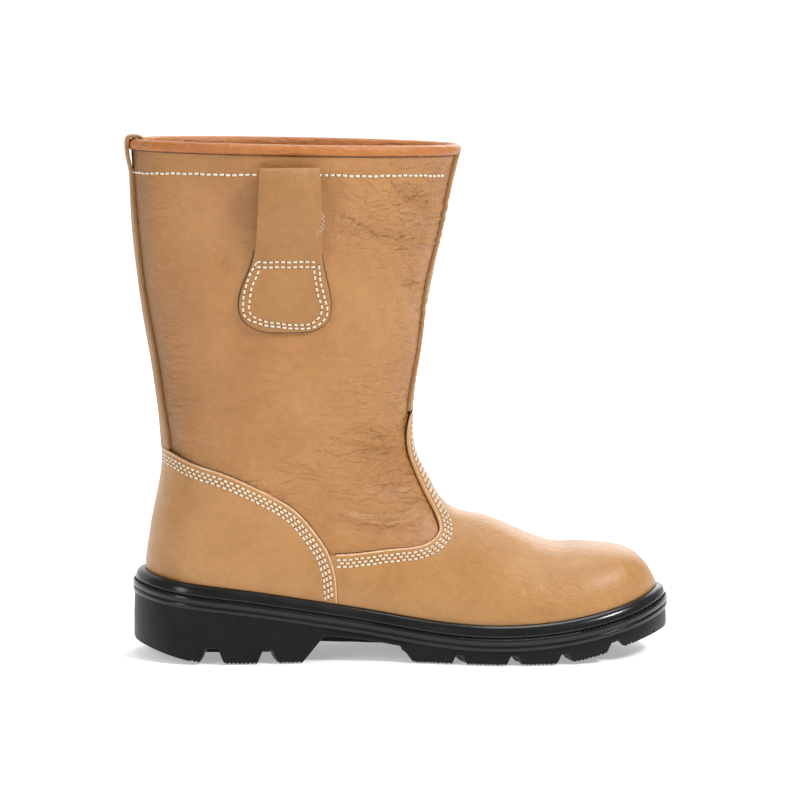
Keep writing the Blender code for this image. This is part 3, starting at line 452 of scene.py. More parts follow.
SIDE_GROOVES = [  # name, x at the rim, x at the channel, width, depth
    ("toe_groove",   116.5, 117.0, 10.5, 4.8),
    ("fore_groove",   87.3,  86.0,  8.8, 5.1),
    ("mid_groove",    58.9,  57.0,  8.8, 5.1),
    ("back_groove",   28.8,  26.0,  8.0, 5.1),
    ("heel_fore",    -77.5, -78.0, 11.6, 7.4),
    ("heel_back",   -108.6,-107.0, 13.6, 8.8),
]

CHANNELS = {  # the channels beside the centre plates: x, inner y, outer y
    "forepart": [
        ("toe",       126.5, -27.6,  6.4),
        ("shoulder",  115.5, -32.2, 13.2),
        ("plate_1",    88.0, -36.4, 23.4),
        ("step_1",     81.0, -37.6, 28.0),
        ("plate_2",    57.0, -34.6, 34.6),
        ("plate_3",    43.0, -32.6, 34.8),
        ("plate_4",    23.0, -24.8, 33.2),
        ("end",        -2.0, -14.4, 28.4),
    ],
    "heel": [
        ("breast",    -52.0, -11.2, 26.2),
        ("fore",      -76.5, -11.8, 27.2),
        ("mid",       -92.0, -10.8, 25.8),
        ("back",     -107.0,  -7.8, 22.7),
        ("end",      -121.0,  -4.7, 18.7),
    ],
}
CHANNEL_W, CHANNEL_D = 4.6, 4.6
ARCH_SIDE = [  # x, z: the waist beside its centre panel
    ("breast_low", -62.2, -5.0), ("breast", -45.8, 15.0), ("back", -33.0, 13.9),
    ("mid", -21.0, 12.3), ("front", -3.0, 9.1), ("front_low", 7.4, -5.0),
]
ARCH_PANEL = [  # x, z: the centre panel of the waist
    ("breast_low", -60.0, -5.0), ("breast", -49.0, 7.4), ("front", -1.0, 5.2), ("front_low", 4.2, -5.0),
]



def channel_y(x, side):
    rows = CHANNELS["forepart"] if x > 0 else CHANNELS["heel"]
    rows = sorted(rows, key=lambda r: r[1])
    return float(np.interp(x, [r[1] for r in rows], [r[2 if side < 0 else 3] for r in rows]))


# ------------------------------------------------------------ mesh helpers
SHIFT = np.array((SHIFT_X, SHIFT_Y, 0.0))


def new_object(name, pts, faces, mats, face_mats=None, smooth=True, sharp=None):
    """Mesh piece from points in millimetres, shifted into the boot's frame."""
    me = bpy.data.meshes.new(name)
    p = (np.asarray(pts, float) + SHIFT) * MM
    if isinstance(faces, np.ndarray):
        n, k = faces.shape
        me.vertices.add(len(p))
        me.vertices.foreach_set("co", p.astype(np.float32).ravel())
        me.loops.add(n * k)
        me.loops.foreach_set("vertex_index", faces.astype(np.int32).ravel())
        me.polygons.add(n)
        me.polygons.foreach_set("loop_start", np.arange(0, n * k, k, dtype=np.int32))
        me.update(calc_edges=True)
    else:
        me.from_pydata([tuple(q) for q in p], [], faces)
        me.update()
    me.validate()
    for m in mats:
        me.materials.append(m)
    if face_mats is not None and len(face_mats) == len(me.polygons):
        me.polygons.foreach_set("material_index", np.asarray(face_mats, np.int32))
    if smooth:
        me.shade_smooth()
        if sharp:
            me.set_sharp_from_angle(angle=math.radians(sharp))
    ob = bpy.data.objects.new(name, me)
    bpy.context.scene.collection.objects.link(ob)
    return ob


def face_out(ob):
    """All faces of a closed piece turned outward."""
    bm = bmesh.new()
    bm.from_mesh(ob.data)
    bmesh.ops.recalc_face_normals(bm, faces=bm.faces)
    bm.to_mesh(ob.data)
    bm.free()


def drop(ob):
    me = ob.data
    bpy.data.objects.remove(ob, do_unlink=True)
    if me.users == 0:
        bpy.data.meshes.remove(me)


def cut(ob, tool, op="DIFFERENCE", solver="MANIFOLD"):
    """Boolean applied to the piece; the tool is removed."""
    md = ob.modifiers.new("cut", "BOOLEAN")
    md.operation, md.solver, md.object = op, solver, tool
    bpy.context.view_layer.update()
    me = bpy.data.meshes.new_from_object(ob.evaluated_get(bpy.context.evaluated_depsgraph_get()))
    ob.modifiers.remove(md)
    old, name = ob.data, ob.data.name
    ob.data = me
    bpy.data.meshes.remove(old)
    me.name = name
    drop(tool)
    return ob


def prism(outline, axis, low, high):
    """Closed prism over an outline: 'y' takes (x, z), 'x' takes (y, z)."""
    n = len(outline)
    pts = [{"y": (a, d, b), "x": (d, a, b), "z": (a, b, d)}[axis] for d in (low, high) for a, b in outline]
    polys = [tuple(range(n)), tuple(range(n, 2 * n))[::-1]]
    polys += [(k, (k + 1) % n, n + (k + 1) % n, n + k)[::-1] for k in range(n)]
    ob = new_object("tool", pts, polys, [], smooth=False)
    bm = bmesh.new()
    bm.from_mesh(ob.data)
    bmesh.ops.recalc_face_normals(bm, faces=bm.faces)
    bm.to_mesh(ob.data)
    bm.free()
    return ob


def smooth_path(rows, steps):
    """Open smooth curve through named rows, by arc length."""
    p = np.array([r[1:3] for r in rows], float)
    d = np.concatenate(([0], np.cumsum(np.hypot(*np.diff(p, axis=0).T))))
    t = np.linspace(0, d[-1], steps)
    return np.stack((spline(d, p[:, 0])(t), spline(d, p[:, 1])(t)), 1)


def mesh_points(ob):
    """Vertices in millimetres, in the tables' frame."""
    co = np.zeros(len(ob.data.vertices) * 3, np.float32)
    ob.data.vertices.foreach_get("co", co)
    return co.reshape(-1, 3).astype(float) / MM - SHIFT


def mesh_tree(ob):
    """Search tree of a piece, in millimetres, in the tables' frame."""
    p = mesh_points(ob)
    return BVHTree.FromPolygons([tuple(q) for q in p], [tuple(f.vertices) for f in ob.data.polygons])


def near(points, targets, block=4000):
    """Distance from each point to the nearest of the targets."""
    points, targets = np.asarray(points, float), np.asarray(targets, float)
    out = np.empty(len(points))
    tt = (targets ** 2).sum(1)
    for a in range(0, len(points), block):
        q = points[a:a + block]
        d = (q ** 2).sum(1)[:, None] + tt[None] - 2 * q @ targets.T
        out[a:a + block] = np.sqrt(np.maximum(d.min(1), 0))
    return out


def point_attribute(ob, name, values):
    at = ob.data.attributes.get(name) or ob.data.attributes.new(name, "FLOAT", "POINT")
    at.data.foreach_set("value", np.asarray(values, np.float32))


def smooth_step(x, a, b):
    q = np.clip((np.asarray(x, float) - a) / (b - a), 0, 1)
    return q * q * (3 - 2 * q)


# ------------------------------------------------------------ the last, fine
class Sheet:
    """The last's surface as a fine grid: points, normals and triangles."""

    def __init__(self, rows, cells):
        x0, z0 = top_at(0)
        grid, ids, pts = [], [], [(x0, float(last_f["mid"](0)), z0)]
        ids.append([0] * (2 * cells + 1))
        self.closed = [False]
        for t in rows:
            p, on_seat = section(t, cells)
            start = len(pts)
            row = list(range(start, start + 2 * cells))
            pts.extend(map(tuple, p[:-1]))
            if on_seat:
                row.append(len(pts))
                pts.append(tuple(p[-1]))
            else:
                row.append(start)
            self.closed.append(not on_seat)
            ids.append(row)
        self.ids = np.array(ids)
        self.p = np.array(pts)
        self.cells = cells
        a, b = self.ids[:-1], self.ids[1:]
        al, ar, bl, br = a[:, :-1], a[:, 1:], b[:, :-1], b[:, 1:]
        left = np.arange(2 * cells) < cells
        t1 = np.where(left[None, :, None], np.stack((al, br, bl), 2), np.stack((al, ar, bl), 2)).reshape(-1, 3)
        t2 = np.where(left[None, :, None], np.stack((al, ar, br), 2), np.stack((ar, br, bl), 2)).reshape(-1, 3)
        tri = np.concatenate((t1, t2))
        ok = (tri[:, 0] != tri[:, 1]) & (tri[:, 1] != tri[:, 2]) & (tri[:, 0] != tri[:, 2])
        self.tri = tri[ok]
        self.ease_heel()
        self.n = self.normals(self.p)
        for i, row in enumerate(self.ids):
            if i and not self.closed[i]:
                for v in (row[0], row[-1]):
                    self.level(v)
        for v in self.ids[-1]:
            self.level(v)
        self.n[0] = (1, 0, 0)

    def ease_heel(self):
        """Evens out the turn of the seat round the heel, above its edge."""
        e = np.concatenate((self.tri[:, (0, 1)], self.tri[:, (1, 2)], self.tri[:, (2, 0)]))
        e = np.unique(np.sort(e, axis=1), axis=0)
        fixed = np.zeros(len(self.p), bool)
        fixed[self.seat_loop()] = True
        w = smooth_step(-self.p[:, 0], 98, 112) * (1 - smooth_step(self.p[:, 2], 62, 76))
        w = np.where(fixed, 0, w)[:, None] * 0.6
        count = np.bincount(e.ravel(), minlength=len(self.p))[:, None]
        for _ in range(14):
            total = np.zeros_like(self.p)
            for c in range(3):
                total[:, c] = np.bincount(e[:, 0], self.p[e[:, 1], c], len(self.p)) + np.bincount(e[:, 1], self.p[e[:, 0], c], len(self.p))
            self.p = self.p + w * (total / count - self.p)

    def level(self, v):
        self.n[v, 2] = 0
        self.n[v] /= max(1e-9, np.linalg.norm(self.n[v]))

    def normals(self, p):
        f = self.tri
        fn = np.cross(p[f[:, 1]] - p[f[:, 0]], p[f[:, 2]] - p[f[:, 0]])
        n = np.zeros_like(p)
        for k in range(3):
            for c in range(3):
                n[:, c] += np.bincount(f[:, k], fn[:, c], len(p))
        return n / np.maximum(np.linalg.norm(n, axis=1), 1e-9)[:, None]

    def seat_loop(self):
        med, lat = [], []
        for i, row in enumerate(self.ids[1:], 1):
            med.append(row[0])
            if self.closed[i]:
                break
            lat.append(row[-1])
        return [self.ids[0, 0]] + med + lat[::-1]

    def at(self, amount):
        return self.p + self.n * np.asarray(amount, float).reshape(-1, 1) if np.ndim(amount) \
            else self.p + self.n * amount

    def tree(self, amount=0.0):
        return BVHTree.FromPolygons([tuple(q) for q in self.at(amount)], [tuple(f) for f in self.tri])

    def shell(self, name, outer, inner, mats):
        """Closed wall between two offsets: outer faces take the first
        material, inner faces the second and the rims the third."""
        o, i = self.at(outer), self.at(inner)
        n = len(o)
        low, high = self.seat_loop(), list(self.ids[-1][:-1])
        rim = []
        for a, b in zip(low, low[1:] + low[:1]):
            rim += [(a, b, n + b), (a, n + b, n + a)]
        for a, b in zip(high, high[1:] + high[:1]):
            rim += [(b, a, n + a), (b, n + a, n + b)]
        f = np.concatenate((self.tri, self.tri[:, ::-1] + n, np.array(rim)))
        fm = np.concatenate((np.zeros(len(self.tri)), np.ones(len(self.tri)), np.full(len(rim), 2)))
        ob = new_object(name, np.concatenate((o, i)), f, mats, fm, sharp=50)
        face_out(ob)
        return ob


def ride(ob, node=None):
    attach(ob, "root")
    if node:
        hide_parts(node)
    return ob


# ------------------------------------------------------------ materials
def nodes_for(name):
    m = bpy.data.materials.new(name)
    m.use_nodes = True
    nt = m.node_tree
    return m, nt, nt.nodes["Principled BSDF"]


def noise(nt, vec, scale, detail=3.0, rough=0.55, stretch=None):
    if stretch:
        mp = nt.nodes.new("ShaderNodeMapping")
        mp.inputs["Scale"].default_value = stretch
        nt.links.new(vec, mp.inputs["Vector"])
        vec = mp.outputs["Vector"]
    n = nt.nodes.new("ShaderNodeTexNoise")
    n.inputs["Scale"].default_value = scale
    n.inputs["Detail"].default_value = detail
    n.inputs["Roughness"].default_value = rough
    nt.links.new(vec, n.inputs["Vector"])
    return n.outputs["Fac"]


def ramp(nt, fac, stops):
    r = nt.nodes.new("ShaderNodeValToRGB")
    el = r.color_ramp.elements
    while len(el) < len(stops):
        el.new(0.5)
    for e, (p, c) in zip(el, stops):
        e.position = p
        e.color = (*c, 1) if len(c) == 3 else c
    nt.links.new(fac, r.inputs["Fac"])
    return r.outputs["Color"]


def maths(nt, op, a, b):
    n = nt.nodes.new("ShaderNodeMath")
    n.operation = op
    for k, v in enumerate((a, b)):
        if isinstance(v, (int, float)):
            n.inputs[k].default_value = v
        else:
            nt.links.new(v, n.inputs[k])
    return n.outputs["Value"]


def mix(nt, fac, a, b, kind="MIX"):
    n = nt.nodes.new("ShaderNodeMixRGB")
    n.blend_type = kind
    for k, v in enumerate((fac, a, b)):
        if isinstance(v, tuple):
            n.inputs[k].default_value = (*v, 1)
        elif isinstance(v, (int, float)):
            n.inputs[k].default_value = v
        else:
            nt.links.new(v, n.inputs[k])
    return n.outputs["Color"]


def bump(nt, height, strength, distance, below=None):
    b = nt.nodes.new("ShaderNodeBump")
    b.inputs["Strength"].default_value = strength
    b.inputs["Distance"].default_value = distance
    nt.links.new(height, b.inputs["Height"])
    if below is not None:
        nt.links.new(below, b.inputs["Normal"])
    return b.outputs["Normal"]


def attribute(nt, name):
    a = nt.nodes.new("ShaderNodeAttribute")
    a.attribute_name = name
    return a.outputs["Fac"]


def leather(name, base, dark, light, rough=0.46, grain=1.0, wrinkle=1.0, coat=0.12, painted_shade_colour=None):
    m, nt, b = nodes_for(name)
    vec = nt.nodes.new("ShaderNodeTexCoord").outputs["Object"]
    broad = noise(nt, vec, 26, 4)
    dark = tuple(0.5 * (p + q) for p, q in zip(base, dark))
    light = tuple(0.5 * (p + q) for p, q in zip(base, light))
    colour = ramp(nt, broad, [(0.30, dark), (0.50, base), (0.72, light)])
    mottle = noise(nt, vec, 210, 5, 0.65)
    colour = mix(nt, 0.55, colour, ramp(nt, mottle, [(0.25, (0.80, 0.78, 0.75)), (0.55, (1, 1, 1)), (0.8, (1.10, 1.08, 1.05))]), "MULTIPLY")
    pores = noise(nt, vec, 2300, 2, 0.6)
    colour = mix(nt, 0.45, colour, ramp(nt, pores, [(0.34, (0.70, 0.64, 0.58)), (0.47, (1, 1, 1))]), "MULTIPLY")
    # painted shade: the colour is mixed toward a darker shade colour wherever the 'shade' attribute is high
    if painted_shade_colour:
        colour = mix(nt, attribute(nt, "shade"), colour, painted_shade_colour)
    nt.links.new(colour, b.inputs["Base Color"])
    fine = noise(nt, vec, 1500, 3, 0.6)
    mid = noise(nt, vec, 420, 3, 0.55)
    lines = noise(nt, vec, 105, 4, 0.60, (1.0, 1.0, 2.2))
    crumple = maths(nt, "MULTIPLY", lines, maths(nt, "ADD", attribute(nt, "wrinkle"), 0.12))
    n1 = bump(nt, crumple, min(1.0, 1.0 * wrinkle), 0.0036)
    vm = nt.nodes.new("ShaderNodeMapping")
    vm.inputs["Rotation"].default_value = (0.0, math.radians(28), 0.0)
    vm.inputs["Scale"].default_value = (0.75, 1.0, 2.3)
    warp = nt.nodes.new("ShaderNodeVectorMath")
    warp.operation = "MULTIPLY_ADD"
    wn = nt.nodes.new("ShaderNodeTexNoise")
    wn.inputs["Scale"].default_value = 70
    nt.links.new(vec, wn.inputs["Vector"])
    nt.links.new(wn.outputs["Color"], warp.inputs[0])
    warp.inputs[1].default_value = (0.010, 0.010, 0.010)
    nt.links.new(vec, warp.inputs[2])
    nt.links.new(warp.outputs["Vector"], vm.inputs["Vector"])
    vo = nt.nodes.new("ShaderNodeTexVoronoi")
    vo.feature = "DISTANCE_TO_EDGE"
    vo.inputs["Scale"].default_value = 95
    nt.links.new(vm.outputs["Vector"], vo.inputs["Vector"])
    furrow = maths(nt, "MINIMUM", maths(nt, "MULTIPLY", vo.outputs["Distance"], 5.5), 1.0)
    furrow = maths(nt, "MULTIPLY", furrow, maths(nt, "MULTIPLY", attribute(nt, "wrinkle"), maths(nt, "ADD", broad, 0.25)))
    n1 = bump(nt, furrow, min(1.0, 0.9 * wrinkle), 0.0011, n1)
    n2 = bump(nt, mid, 0.35 * grain, 0.0010, n1)
    n3 = bump(nt, fine, 0.50 * grain, 0.0004, n2)
    nt.links.new(n3, b.inputs["Normal"])
    nt.links.new(maths(nt, "ADD", maths(nt, "MULTIPLY", mottle, 0.22), rough - 0.11), b.inputs["Roughness"])
    b.inputs["Coat Weight"].default_value = coat
    b.inputs["Coat Roughness"].default_value = 0.38
    b.inputs["Specular IOR Level"].default_value = 0.42
    return m


def plain(name, a, c, scale, rough, strength=0.3, distance=0.0003, coat=0.0, spec=0.5):
    m, nt, b = nodes_for(name)
    vec = nt.nodes.new("ShaderNodeTexCoord").outputs["Object"]
    f = noise(nt, vec, scale, 4)
    nt.links.new(ramp(nt, f, [(0.35, a), (0.65, c)]), b.inputs["Base Color"])
    g = noise(nt, vec, scale * 6, 3)
    nt.links.new(bump(nt, g, strength, distance), b.inputs["Normal"])
    nt.links.new(maths(nt, "ADD", maths(nt, "MULTIPLY", f, 0.16), rough - 0.08), b.inputs["Roughness"])
    b.inputs["Coat Weight"].default_value = coat
    b.inputs["Coat Roughness"].default_value = 0.16
    b.inputs["Specular IOR Level"].default_value = spec
    return m


# the last colour of each leather is its painted shade colour, mixed in by the 'shade' attribute
SHAFT = leather("shaft_leather", (0.368, 0.166, 0.047), (0.295, 0.122, 0.030), (0.440, 0.218, 0.073), 0.42, 1.0, 1.0, 0.16, (0.13, 0.062, 0.022))
PANEL = leather("panel_leather", (0.392, 0.190, 0.056), (0.325, 0.146, 0.038), (0.448, 0.234, 0.080), 0.38, 1.0, 0.70, 0.22, (0.27, 0.125, 0.032))
STRAP = leather("strap_leather", (0.345, 0.162, 0.046), (0.280, 0.120, 0.030), (0.420, 0.216, 0.073), 0.48, 1.0, 0.6, 0.10, (0.15, 0.072, 0.028))
BINDING = leather("binding_leather", (0.425, 0.142, 0.022), (0.330, 0.090, 0.012), (0.490, 0.195, 0.040), 0.40, 1.0, 0.9, 0.16, (0.22, 0.08, 0.03))
LINING = plain("lining_leather", (0.10, 0.045, 0.018), (0.40, 0.190, 0.070), 90, 0.72, 0.6, 0.0008)
EDGE = plain("cut_edge", (0.60, 0.345, 0.190), (0.76, 0.520, 0.330), 500, 0.62, 0.5, 0.0004)
# painted shadow: dark brown for the thin tubes laid along panel, strap, binding and loop edges
SHADE = plain("painted_shadow_line", (0.055, 0.024, 0.009), (0.14, 0.062, 0.022), 400, 0.7)
THREAD = plain("thread", (0.68, 0.60, 0.47), (0.86, 0.80, 0.68), 700, 0.62, 0.6, 0.0004)
# painted shade: dark brown for the discs that stand in for needle holes
HOLE = plain("needle_hole", (0.050, 0.024, 0.012), (0.11, 0.050, 0.022), 500, 0.8)
RUBBER = plain("sole_rubber", (0.0035, 0.0035, 0.0038), (0.007, 0.007, 0.0075), 60, 0.40, 0.35, 0.0004, 0.0, 0.16)
GLOSS = plain("welt_rubber", (0.0030, 0.0030, 0.0033), (0.006, 0.006, 0.0065), 50, 0.22, 0.10, 0.0003, 0.10, 0.34)
BOARD = plain("insole_board", (0.17, 0.10, 0.055), (0.30, 0.19, 0.10), 160, 0.8, 0.5, 0.0006)


# ------------------------------------------------------------ creases
CREASES = [  # side, depth, width, then x and z along the fold; depth > 0 is a trough
    (-1, 0.9, 2.0, (-14, 285), (-9, 281), (-3, 275)),
    (-1, 0.8, 2.0, (-6.5, 285), (-2, 281), (4, 275)),
    (-1, 1.0, 2.2, (-9, 270.5), (4, 259.5), (17, 250.5)),
    (-1, -0.6, 2.4, (-10, 266), (2, 255.5), (14, 247)),
    (-1, 0.8, 1.9, (4, 269.5), (11, 260), (17, 252)),
    (-1, 1.1, 2.6, (-45, 251.5), (-31, 249), (-20, 242), (-4, 238), (15, 237.5)),
    (-1, -0.6, 3.0, (-44, 247), (-30, 245), (-18, 238), (-3, 234), (12, 232)),
    (-1, 1.0, 2.4, (-45, 243), (-25, 240), (-9, 235), (6.5, 229), (11, 227)),
    (-1, 0.7, 2.2, (-20.5, 229.5), (-14, 225), (-7.5, 221)),
    (-1, 0.7, 2.2, (-2, 214.5), (5, 212), (12, 210)),
    (-1, 0.8, 3.0, (-94, 269), (-99, 263), (-105, 258)),
    (-1, 0.7, 3.2, (-105, 233), (-99, 224), (-93, 215)),
    (-1, -0.4, 4.0, (-118, 246), (-110, 232), (-101, 214)),
    (-1, 0.7, 4.2, (-104, 141), (-83, 148.5), (-68, 157)),
    (-1, -0.4, 4.5, (-98, 134), (-78, 141), (-62, 150)),
    (-1, 0.8, 3.4, (-30, 134), (-16, 127), (0, 124)),
    (-1, 0.8, 3.0, (-28, 120), (-15, 115), (0, 116)),
    (-1, -0.6, 3.4, (-30, 127), (-14, 121), (0, 119)),
    (-1, 0.8, 3.2, (-45, 92), (-26, 84), (-6, 81), (10, 84)),
    (-1, 0.7, 2.8, (-36, 77), (-18, 72), (2, 72), (13, 77)),
    (-1, -0.6, 3.4, (-42, 84), (-22, 78), (-2, 76), (10, 80)),
    (-1, 0.6, 2.6, (-24, 102), (-10, 96), (4, 96)),
    (-1, 0.5, 5.0, (-60, 178), (-40, 172), (-14, 176)),
    (-1, -0.4, 6.0, (-70, 118), (-52, 108), (-40, 96)),
    (1, 1.0, 2.4, (-12, 272), (2, 262), (16, 254)),
    (1, 1.0, 2.8, (-44, 250), (-24, 246), (-6, 238), (14, 236)),
    (1, -0.6, 3.0, (-42, 245), (-22, 240), (-4, 232), (12, 230)),
    (1, 0.8, 2.6, (-40, 238), (-20, 233), (2, 224)),
    (1, 0.7, 3.6, (-108, 146), (-84, 150), (-64, 160)),
    (1, 0.8, 3.4, (-32, 132), (-14, 125), (0, 124)),
    (1, 0.9, 3.4, (-48, 90), (-26, 82), (-4, 80), (10, 84)),
    (1, 0.7, 3.0, (-34, 76), (-14, 71), (8, 74)),
    (1, -0.5, 3.4, (-40, 83), (-20, 77), (0, 76)),
    (1, 0.6, 3.2, (-100, 262), (-106, 250), (-102, 236)),
]


def crease_field(p, n):
    """Height of the folds at each point of the upper, millimetres outward."""
    out = np.zeros(len(p))
    side = np.where(p[:, 1] < 6.3, -1, 1)
    for row in CREASES:
        s, depth, width, line = row[0], row[1], row[2], np.array(row[3:], float)
        d = np.concatenate(([0], np.cumsum(np.hypot(*np.diff(line, axis=0).T))))
        q = np.linspace(0, d[-1], 40)
        if len(line) > 2:
            c = np.stack((spline(d, line[:, 0])(q), spline(d, line[:, 1])(q)), 1)
        else:
            c = np.stack((np.interp(q, d, line[:, 0]), np.interp(q, d, line[:, 1])), 1)
        taper = np.sin(np.pi * np.clip(q / d[-1], 0.04, 0.96)) ** 0.6
        box = (side == s) & (p[:, 0] > c[:, 0].min() - 12) & (p[:, 0] < c[:, 0].max() + 12) \
            & (p[:, 2] > c[:, 1].min() - 12) & (p[:, 2] < c[:, 1].max() + 12)
        v = p[box][:, (0, 2)]
        dist = np.hypot(v[:, None, 0] - c[None, :, 0], v[:, None, 1] - c[None, :, 1])
        k = dist.argmin(1)
        out[box] -= depth * taper[k] * np.exp(-(dist[np.arange(len(v)), k] / (0.84 * width)) ** 2)
    # fine folds along the front of the shaft and shallow waviness all over
    front = smooth_step(p[:, 0] - np.interp(p[:, 2], top_z[::-1][:700], top_x[::-1][:700]), -20, -3) * smooth_step(p[:, 2], 92, 110)
    out += 0.22 * front * np.sin(p[:, 2] * 1.15 + 1.7 * np.sin(p[:, 2] * 0.21)) * (0.5 + 0.5 * np.sin(p[:, 2] * 0.13 + 1))
    calm = smooth_step(p[:, 2], 66, 100)
    out += calm * 0.35 * np.sin(p[:, 2] * 0.085 + 1.3 * np.sin(p[:, 0] * 0.05) + side) * np.sin(p[:, 0] * 0.07 + 0.6)
    return out


SPREAD = 0.05           # sections evenly divided on the sides
FINE = Sheet([t for t in fan_rows(112, 176) if t > 0.018], 76)
fold = crease_field(FINE.p, FINE.n)
ease = 1 - smooth_step(FINE.p[:, 2], 276, 282)      # flat under the binding
fold = np.clip(fold * 1.75, -2.4, 1.1) * ease
upper = FINE.shell("shaft", fold, fold - LEATHER, [SHAFT, LINING, EDGE])
wr = np.clip(np.abs(fold) * 0.34 + 0.40 * smooth_step(FINE.p[:, 0], -30, 12) * smooth_step(FINE.p[:, 2], 60, 90)
             + 0.28 * np.exp(-((FINE.p[:, 2] - 104) / 30) ** 2)
             + 0.40 * np.exp(-((FINE.p[:, 2] - 250) / 26) ** 2) * smooth_step(FINE.p[:, 0], -48, -20)
             + 0.14 * np.exp(-((FINE.p[:, 2] - 150) / 22) ** 2) + 0.05, 0, 1)
point_attribute(upper, "wrinkle", np.tile(wr, 2))
# painted shade: the shaft is darkened in a band along the back seam, from the heel up
back_gap = FINE.p[:, 0] - np.interp(FINE.p[:, 2], back_z, back_x)
painted_back_shade = 0.62 * np.exp(-(back_gap / 9.0) ** 2) * smooth_step(FINE.p[:, 2], 60, 110)
point_attribute(upper, "shade", np.tile(painted_back_shade, 2))
ride(upper, "upper")
TREE = BVHTree.FromPolygons([tuple(q) for q in FINE.at(fold)], [tuple(f) for f in FINE.tri])


# ------------------------------------------------------------ panels
SPREAD = 0.2
MID = Sheet([t for t in fan_rows(120, 60) if t > 0.018], 56)


def panel(name, thick, outline, node, gap_tool=None, wrinkles=0.1):
    ob = MID.shell(name, GAP + thick, -0.4, [PANEL, PANEL, EDGE])
    cut(ob, prism(outline, "y", -95, 95), "INTERSECT")
    if gap_tool:
        cut(ob, prism(gap_tool, "y", -95, 95))
    for m in (PANEL, PANEL, EDGE)[len(ob.data.materials):]:
        ob.data.materials.append(m)
    ob.data.shade_smooth()
    ob.data.set_sharp_from_angle(angle=math.radians(38))
    p = mesh_points(ob)
    point_attribute(ob, "wrinkle", wrinkles * (0.4 + np.exp(-((p[:, 0] - 75) / 25) ** 2)))
    # painted shade: a darker band about 6 mm below the top line of the vamp and toe
    crest = np.interp(p[:, 0], top_x[:700], top_z[:700])
    point_attribute(ob, "shade", 0.45 * np.exp(-((p[:, 2] - crest + 6) / 12) ** 2) * smooth_step(p[:, 0], 20, 50))
    return ride(ob, node)


vamp_line = smooth_path(VAMP_EDGE, 120)
counter_line = smooth_path(COUNTER_EDGE, 100)
counter_poly = [tuple(q) for q in counter_line] + [(-190, 20), (-190, 119.4)]
vamp_poly = [tuple(q) for q in vamp_line] + [(-60, 59.8), (-60, 0), (190, 0), (190, 139)]
panel("heel_counter_panel", COUNTER_T, counter_poly, "heel_counter", None, 0.05)
panel("vamp_panel", VAMP_T, vamp_poly, "vamp",
      [(x + 0.4, z + 0.4) for x, z in counter_line] + [(-190, 10), (-190, 120)], 0.2)


# ------------------------------------------------------------ lines on the surface
def onto(tree, p):
    hit = tree.find_nearest(Vector(p))
    return np.array(hit[0]), np.array(hit[1])


def surface_line(tree, pts):
    """Points, outward normals and sideways vectors along a line on the surface."""
    q, n = zip(*(onto(tree, p) for p in pts))
    q, n = np.array(q), np.array(n)
    t = np.gradient(q, axis=0)
    t /= np.maximum(np.linalg.norm(t, axis=1), 1e-9)[:, None]
    for _ in range(3):
        n[1:-1] = (n[:-2] + n[1:-1] + n[2:]) / 3
    n /= np.linalg.norm(n, axis=1)[:, None]
    return q, n, np.cross(n, t)


def even(pts, pitch):
    pts = np.asarray(pts, float)
    d = np.concatenate(([0], np.cumsum(np.linalg.norm(np.diff(pts, axis=0), axis=1))))
    q = np.arange(0, d[-1], pitch)
    return np.stack([np.interp(q, d, pts[:, k]) for k in range(3)], 1)


def cast_side(tree, line, side):
    out = []
    for x, z in line:
        hit = tree.ray_cast(Vector((x, side * 200, z)), Vector((0, -side, 0)))[0]
        if hit is not None and hit.y * side > side * 6.0 - 1:
            out.append(tuple(hit))
    return out


BARE = MID.tree(0.0)


def both_sides(line, bridge_z=None):
    """Edge of a panel as one line: inner side, across the front, outer side."""
    a, b = cast_side(BARE, line, -1), cast_side(BARE, line, 1)
    if bridge_z is None:
        return [a, b]
    a = [p for p in a if p[2] < bridge_z or p[0] < 2][::-1]
    b = [p for p in b if p[2] < bridge_z or p[0] < 2]
    front = []
    for y in np.linspace(a[-1][1], b[0][1], 14)[1:-1]:
        hit = BARE.ray_cast(Vector((200, y, bridge_z)), Vector((-1, 0, 0)))[0]
        front.append(tuple(hit))
    return [a + front + b]


def tube(path, up, side, ry, rz, sides=8):
    """Vertices and faces of a swept oval; ry across the surface, rz off it."""
    n = len(path)
    ang = np.linspace(0, 2 * math.pi, sides, endpoint=False)
    ring = path[:, None] + side[:, None] * (np.cos(ang) * ry)[None, :, None] + up[:, None] * (np.sin(ang) * rz)[None, :, None]
    pts = ring.reshape(-1, 3)
    f = []
    for k in range(n - 1):
        for j in range(sides):
            i = (j + 1) % sides
            f.append((k * sides + j, (k + 1) * sides + j, (k + 1) * sides + i, k * sides + i))
    f.append(tuple(range(sides)))
    f.append(tuple(range((n - 1) * sides, n * sides))[::-1])
    return pts, f


class Joined:
    def __init__(self):
        self.p, self.f, self.n = [], [], 0

    def add(self, pts, faces):
        self.p.append(np.asarray(pts, float))
        self.f += [tuple(self.n + k for k in face) for face in faces]
        self.n += len(pts)

    def make(self, name, mat, slot, angle=None):
        ob = new_object(name, np.concatenate(self.p), self.f, [mat], sharp=angle)
        return ride(ob, None)


# shadow_lines gathers the painted shadow tubes
threads, holes, cut_edges, shadow_lines = Joined(), Joined(), Joined(), Joined()


